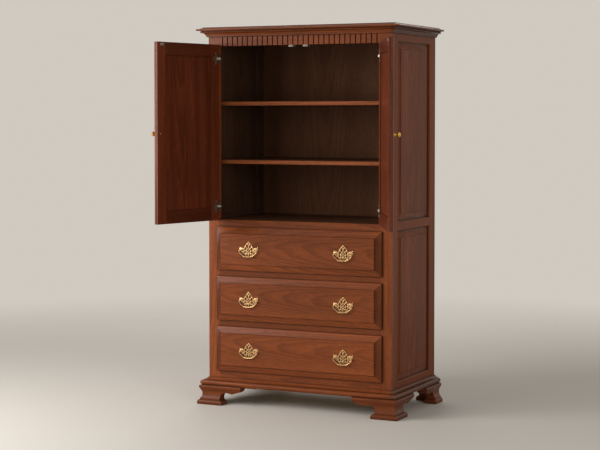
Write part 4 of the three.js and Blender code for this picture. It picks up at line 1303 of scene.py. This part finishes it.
@dataclass
class Pull:
    """A cast, pierced willow plate with two ball posts and a swinging bail, in millimetres."""

    brass: bpy.types.Material
    thickness: float = 2.0
    seat: float = 0.3
    ease: float = 0.6
    post_out: float = 40.0
    post_drop: float = 4.0
    front_depth: float = 10.0
    nut: tuple[float, float] = (6.0, 4.0)
    ball: float = 5.0
    ball_out: float = 11.3
    ball_steps: int = 9
    neck: float = 3.0
    bore: float = 2.5
    bail_drop: float = 32.0
    bail_shoulder: float = 8.0
    bail_end: float = 2.0
    bail_grip: float = 3.3
    grip_half: float = 21.5
    grip_ring: tuple[float, float] = (1.5, 0.9)
    outline: tuple[tuple, ...] = (
        ("M", 0, 39.5),
        ("Q", 3.6, 36, 8.2, 31.8),
        ("Q", 14.8, 26, 18.8, 20),
        ("Q", 23, 13.5, 25.2, 6.5),
        ("Q", 29, 4.5, 33, 8.2),
        ("Q", 38, 11.5, 42, 10.2),
        ("Q", 48, 9.5, 52, 16),
        ("Q", 52.5, 10, 48, 6.5),
        ("Q", 53, 4.5, 53, -0.5),
        ("Q", 52.5, -7, 46.5, -8),
        ("Q", 41.5, -8.6, 39.5, -13),
        ("Q", 37.5, -20, 31.5, -18),
        ("Q", 28.5, -16, 27.2, -12),
        ("Q", 27.4, -20, 23.6, -27),
        ("Q", 18.5, -35, 9.5, -37.6),
        ("Q", 4.5, -39.5, 0, -39.5),
    )
    # The openwork's voids: those on the middle line as right halves, the others for the right side alone.
    middle_voids: tuple[tuple[tuple[float, float], ...], ...] = (
        ((0, 34.8), (4.9, 28.8), (0, 21.2)),
        ((0, 7.7), (4.1, 2.2), (0, -3.3)),
        ((0, -5.3), (4.1, -10.8), (0, -16.3)),
    )
    side_voids: tuple[tuple[tuple[float, float], ...], ...] = (
        ((7.5, 27.8), (13.9, 21.0), (16.1, 16.6), (11.7, 11.3), (4.4, 5.8), (1.3, 10.0), (4.2, 20.3)),
        ((18.9, 13.1), (22.2, 4.6), (23.5, -3.6), (17.8, -5.8), (13.0, -0.9), (10.3, 4.8), (14.5, 9.0)),
        ((7.0, 2.5), (11.8, -3.8), (7.0, -10.4), (2.3, -3.9)),
        ((23.6, -6.7), (23.6, -15.3), (21.4, -21.9), (15.9, -19.0), (12.8, -12.2), (15.7, -7.8)),
        ((7.3, -11.3), (11.7, -15.7), (8.6, -21.0), (2.5, -17.9)),
        ((2.2, -20.3), (9.0, -23.2), (9.9, -31.1), (6.1, -34.6), (1.7, -35.0)),
        ((12.3, -20.9), (19.8, -24.2), (17.1, -29.5), (12.1, -33.0), (11.6, -27.3)),
        ((29.6, -0.8), (32.8, 2.6), (34.4, -3.0), (33.0, -8.2), (29.8, -10.4)),
        ((35.8, -10.2), (37.6, -13.2), (34.8, -16.4), (31.8, -14.6), (33.0, -11.4)),
    )
    # The bail's right half from its post down, in shares of its shoulder and its drop.
    bail_path: tuple[tuple[float, float], ...] = (
        (0, 0),
        (0.75, 0),
        (1.1, -0.12),
        (1.02, -0.29),
        (0.1, -0.52),
        (-1.25, -0.77),
        (-2.1, -0.93),
        (-2.9, -0.97),
    )

    def voids(self) -> list[list[Vector]]:
        """Draws the outline of every void of the openwork.

        Returns:
            The outlines in millimetres.
        """
        found = [softened(mirrored([Vector(pair) for pair in half])) for half in self.middle_voids]
        for side in (-1, 1):
            found += [softened([Vector((side * x, y)) for x, y in void]) for void in self.side_voids]
        return found

    def post(self, mesh: bmesh.types.BMesh, place: Matrix) -> None:
        """Turns one post: nut, shank, collar, neck and ball.

        Args:
            mesh: the mesh that it joins.
            place: where it stands on the drawer's field.
        """
        back = -self.front_depth - self.seat
        profile = [(0, back - 1.5), (3, back - 1.5), (3, self.seat), (5.5, self.seat), (5.5, 3.1), (5.2, 3.8)]
        profile += [(4.5, 4.25), (3.4, 4.4), (2.9, 4.9), (2.8, 5.6), (self.neck, 6.5)]
        start = math.asin(self.neck / self.ball)
        for step in range(1, self.ball_steps):
            angle = start + (math.pi - start) * step / self.ball_steps
            profile.append((self.ball * math.sin(angle), self.ball_out - self.ball * math.cos(angle)))
        profile.append((0, self.ball_out + self.ball))
        lathe(mesh, profile, place, 20)
        radius, height = self.nut
        flats = [(0, back - height), (radius * 0.86, back - height), (radius, back - height + 0.7)]
        flats += [(radius, back - 0.5), (radius * 0.9, back), (0, back)]
        lathe(mesh, flats, place, 6)

    def mount(self) -> bpy.types.Mesh:
        """Makes the plate with its two posts, each bored from outside for an end of the bail.

        Returns:
            The mesh data.
        """
        posts, bores = bmesh.new(), bmesh.new()
        profile = [(0, 0), (self.bore, 0), (self.bore, self.ball + 1), (0, self.ball + 1)]
        for side in (-1, 1):
            stand = Vector((side * self.post_out, -self.post_drop, 0)) * MM
            self.post(posts, Matrix.Translation(stand))
            lathe(bores, profile, looking(stand + Z_AXIS * self.ball_out * MM, X_AXIS * side), 16)
        drilled = drill(posts, bores)
        mesh = bmesh.new()
        plate = mirrored(drawn(self.outline, 6))
        cut_sheet(mesh, plate, self.voids(), self.thickness, self.ease, raised(Matrix(), 0, self.seat))
        mesh.from_mesh(drilled)
        bpy.data.meshes.remove(drilled)
        return finish_mesh("pull_mount", mesh, self.brass)

    def bail(self) -> bpy.types.Mesh:
        """Makes the bail, hanging at rest, with a grip that swells between two rings.

        Returns:
            The mesh data.
        """
        start = self.post_out + self.seat
        right = [
            Vector((start + x * self.bail_shoulder, -self.post_drop + y * self.bail_drop, self.ball_out)) * MM
            for x, y in self.bail_path
        ]
        left = [Vector((-point.x, point.y, point.z)) for point in reversed(right)]
        bottom = Vector((0, -self.post_drop - self.bail_drop, self.ball_out)) * MM
        path = smooth_path([*right, bottom, *left], 8)
        radii = []
        ring_width, ring_rise = self.grip_ring
        for point in path:
            across = abs(point.x) / MM
            swell = max(0.0, 1 - across / start) ** 0.7
            collar = math.exp(-(((across - self.grip_half) / ring_width) ** 2))
            radii.append(self.bail_end + (self.bail_grip - self.bail_end) * swell + ring_rise * collar)
        mesh = bmesh.new()
        sweep(mesh, path, radii, Z_AXIS, 14)
        return finish_mesh("pull_bail", mesh, self.brass, 50.0)


# Where each drawer front lies in its log, as the heart's place in millimetres, and its tone.
DRAWER_LOGS = {1: ((28.5, -70.0), 1.0), 2: ((18.0, -85.0), 0.9), 3: ((6.0, -130.0), 0.87)}


@dataclass
class Drawer:
    """One lipped drawer with a bevelled front and two pierced bail pulls, numbered from the bottom."""

    number: int
    mount: bpy.types.Mesh
    bail: bpy.types.Mesh
    pull_reach: float = 16.3 * MM
    bevel: float = 31.5 * MM
    side_thickness: float = 12.2 * MM
    end_stain_and_shade_tone: float = 0.6

    def build(self) -> None:
        """Dresses the drawer and hangs its pulls."""
        self.dress_front()
        self.dress_box()
        for side in Side:
            self.hang_pull(side)

    def dress_front(self) -> None:
        """Dresses the front, whose end bevels are cut across the grain and are painted darker, partly for the
        deeper stain of end grain and partly as painted shade.
        """
        name = f"drawer_front_{self.number}"
        pith, tone = DRAWER_LOGS[self.number]
        board = Board(X_AXIS, -Y_AXIS, middle(name), pith, (1.2, 2.6), tone)
        # The end bevels' darker tone is partly end grain's deeper stain and partly painted shade.
        ends = replace(board, tone=tone * self.end_stain_and_shade_tone)
        low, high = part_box(name)
        half = (high - low) / 2
        joint = Joint(middle(name), X_AXIS, half.x - self.bevel, mitre=Z_AXIS, mitre_reach=half.x - half.z)
        # The front's finish paints shadow lines into its quirks.
        dress(name, DRAWER_CHERRY_PAINTED_SHADOWS.material(name, ends, joint, board), SANDED)

    def dress_box(self) -> None:
        """Dresses the box, whose grain runs along its sides and across its back."""
        name = f"drawer_box_{self.number}"
        low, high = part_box(name)
        centre = middle(name)
        sides = Board(Y_AXIS, X_AXIS, centre, (20.0, -60.0))
        back = Board(X_AXIS, Y_AXIS, centre, (30.0, -80.0))
        joint = Joint(centre, X_AXIS, (high.x - low.x) / 2 - self.side_thickness)
        dress(name, PALE_POPLAR.material(name, sides, joint, back), FINE_SANDED)

    def hang_pull(self, side: Side) -> None:
        """Sets one plate with its posts and hangs its bail.

        Args:
            side: the half of the drawer that it is on.
        """
        suffix = f"{self.number}_{side.value}"
        node = f"pull_plate_{suffix}"
        place = looking(front_middle(node) + Y_AXIS * self.pull_reach, -Y_AXIS)
        place_piece(f"pull_mount_{suffix}", self.mount, place, f"drawer_{self.number}", node)
        node, body = f"pull_bail_{suffix}", f"bail_{suffix}"
        place_piece(f"pull_handle_{suffix}", self.bail, place, body, node)


@dataclass
class Catch:
    """A magnetic catch under the dentil rail: a plastic case with two steel pole strips in its front."""

    side: Side
    plastic: bpy.types.Material
    steel: bpy.types.Material
    strip_half_mm: tuple[float, float] = (12.5, 1.1)
    strip_rise_mm: float = 2.5
    strip_depth_mm: float = 1.0
    strip_ease_mm: float = 0.15
    strip_proud_mm: float = 0.35

    def build(self) -> None:
        """Dresses the case and sets its pole strips."""
        node = f"magnetic_catch_{self.side.value}"
        dress(node, self.plastic, FINE_SANDED)
        seat = looking(front_middle(node), -Y_AXIS)
        half_x, half_y = self.strip_half_mm
        corners = [Vector((x * half_x, y * half_y)) for x, y in ((-1, -1), (1, -1), (1, 1), (-1, 1))]
        mesh = bmesh.new()
        for side in (-1, 1):
            place = raised(seat, side * self.strip_rise_mm, self.strip_proud_mm - self.strip_depth_mm)
            cut_sheet(mesh, corners, [], self.strip_depth_mm, self.strip_ease_mm, place)
        data = finish_mesh(f"catch_poles_{self.side.value}", mesh, self.steel)
        place_piece(data.name, data, Matrix(), "carcass")


# ---------------------------------------------------------------- the studio


@dataclass(frozen=True)
class Lamp:
    """A soft square lamp that faces a point on the armoire's middle line."""

    name: str
    place: tuple[float, float, float]
    target_height: float
    size: float
    watts: float
    glossy: bool = True

    def hang(self) -> None:
        """Adds the lamp to the scene."""
        data = bpy.data.lights.new(self.name, "AREA")
        data.shape = "SQUARE"
        data.size = self.size
        data.energy = self.watts
        lamp = bpy.data.objects.new(self.name, data)
        lamp.visible_camera = False
        lamp.visible_glossy = self.glossy
        lamp.location = self.place
        view = Vector((0, 0, self.target_height)) - Vector(self.place)
        lamp.rotation_euler = view.to_track_quat("-Z", "Y").to_euler()
        bpy.context.scene.collection.objects.link(lamp)


@dataclass
class Studio:
    """The pale floor, the plain soft light and the camera."""

    backdrop: str = "#D0CAC1"
    sky: str = "#FBF7F1"
    sky_strength: float = 0.36
    floor_radius: float = 30.0
    floor_fade: tuple[float, float] = (1.8, 5.5)
    lamps: tuple[Lamp, ...] = (
        Lamp("key", (-2.6, -2.1, 1.8), 0.9, 1.7, 84),
        Lamp("front", (-1.5, -3.4, 1.7), 0.9, 1.6, 38, glossy=False),
        Lamp("fill", (3.0, -2.6, 1.7), 0.9, 1.6, 28, glossy=False),
        Lamp("back", (-1.8, 3.8, 2.4), 1.0, 2.0, 40),
    )
    sensor_mm: float = 36.0
    lens_mm: float = 97.206
    shift: float = -40 / 600
    place: tuple[float, float, float] = (3.44289, -7.18337, 1.44842)
    yaw: float = 0.45517
    pitch: float = 0.04193

    def build(self) -> None:
        """Makes the floor, the world, the lamps and the camera."""
        self.make_floor()
        self.make_world()
        for lamp in self.lamps:
            lamp.hang()
        self.make_camera()
        bpy.context.scene.view_settings.view_transform = "Standard"

    def make_floor(self) -> None:
        """Makes a wide plain floor that thins out to the backdrop's colour well away from the object."""
        mesh = bmesh.new()
        bmesh.ops.create_circle(mesh, cap_ends=True, radius=self.floor_radius, segments=64)
        data = bpy.data.meshes.new("studio_floor")
        mesh.to_mesh(data)
        mesh.free()
        material, tree = new_material("matt_paper_floor")
        inputs = {"Base Color": linear(self.backdrop), "Roughness": 0.9, "Specular IOR Level": 0.1}
        shader = add_node(tree, "ShaderNodeBsdfPrincipled", inputs).outputs[0]
        point = add_node(tree, "ShaderNodeTexCoord").outputs["Object"]
        reach = add_node(tree, VECTOR_MATH, {0: point}, operation="LENGTH").outputs[1]
        inputs = {"Value": reach, "From Min": self.floor_fade[0], "From Max": self.floor_fade[1]}
        thin = add_node(tree, REMAP, inputs, interpolation_type="SMOOTHSTEP").outputs[0]
        clear = add_node(tree, "ShaderNodeBsdfTransparent").outputs[0]
        paper = add_node(tree, "ShaderNodeMixShader", {0: thin, 1: shader, 2: clear}).outputs[0]
        add_node(tree, "ShaderNodeOutputMaterial", {"Surface": paper})
        data.materials.append(material)
        floor = bpy.data.objects.new("studio_floor", data)
        bpy.context.scene.collection.objects.link(floor)

    def make_world(self) -> None:
        """Makes a soft even sky that the camera and reflections see as the pale backdrop."""
        world = bpy.data.worlds.new("studio")
        world.use_nodes = True
        tree = world.node_tree
        tree.nodes.clear()
        path = add_node(tree, "ShaderNodeLightPath").outputs
        seen = path["Is Camera Ray"]
        for kind in ("Is Glossy Ray", "Is Transmission Ray"):
            seen = add_node(tree, MATH, {0: seen, 1: path[kind]}, operation="MAXIMUM").outputs[0]
        lit, shown = (
            add_node(tree, "ShaderNodeBackground", {"Color": linear(code), "Strength": strength}).outputs[0]
            for code, strength in ((self.sky, self.sky_strength), (self.backdrop, 1.0))
        )
        mixed = add_node(tree, "ShaderNodeMixShader", {0: seen, 1: lit, 2: shown}).outputs[0]
        add_node(tree, "ShaderNodeOutputWorld", {"Surface": mixed})
        bpy.context.scene.world = world

    def make_camera(self) -> None:
        """Makes the camera where the photograph was taken from."""
        data = bpy.data.cameras.new("camera")
        data.sensor_width = self.sensor_mm
        data.lens = self.lens_mm
        data.shift_y = self.shift
        data.clip_end = 100
        camera = bpy.data.objects.new("camera", data)
        camera.location = self.place
        level = Vector((-math.sin(self.yaw), math.cos(self.yaw), 0)) * math.cos(self.pitch)
        view = level - Z_AXIS * math.sin(self.pitch)
        camera.rotation_euler = view.to_track_quat("-Z", "Y").to_euler()
        bpy.context.scene.collection.objects.link(camera)
        bpy.context.scene.camera = camera


def main() -> None:
    """Builds the armoire's looks in order."""
    logging.basicConfig(level=logging.INFO, format="%(message)s")
    brass, knob_brass = ANTIQUE_BRASS.material(), POLISHED_BRASS.material()
    nickel = NICKEL_PLATE.material()
    Case(nickel).build()
    Feet().build()
    for side in Side:
        Door(side, knob_brass, nickel).build()
    pull = Pull(brass)
    mount, bail = pull.mount(), pull.bail()
    for number in DRAWER_LOGS:
        Drawer(number, mount, bail).build()
    catch = CATCH_ABS.material()
    for side in Side:
        Catch(side, catch, nickel).build()
    Studio().build()


if __name__ == "__main__":
    main()
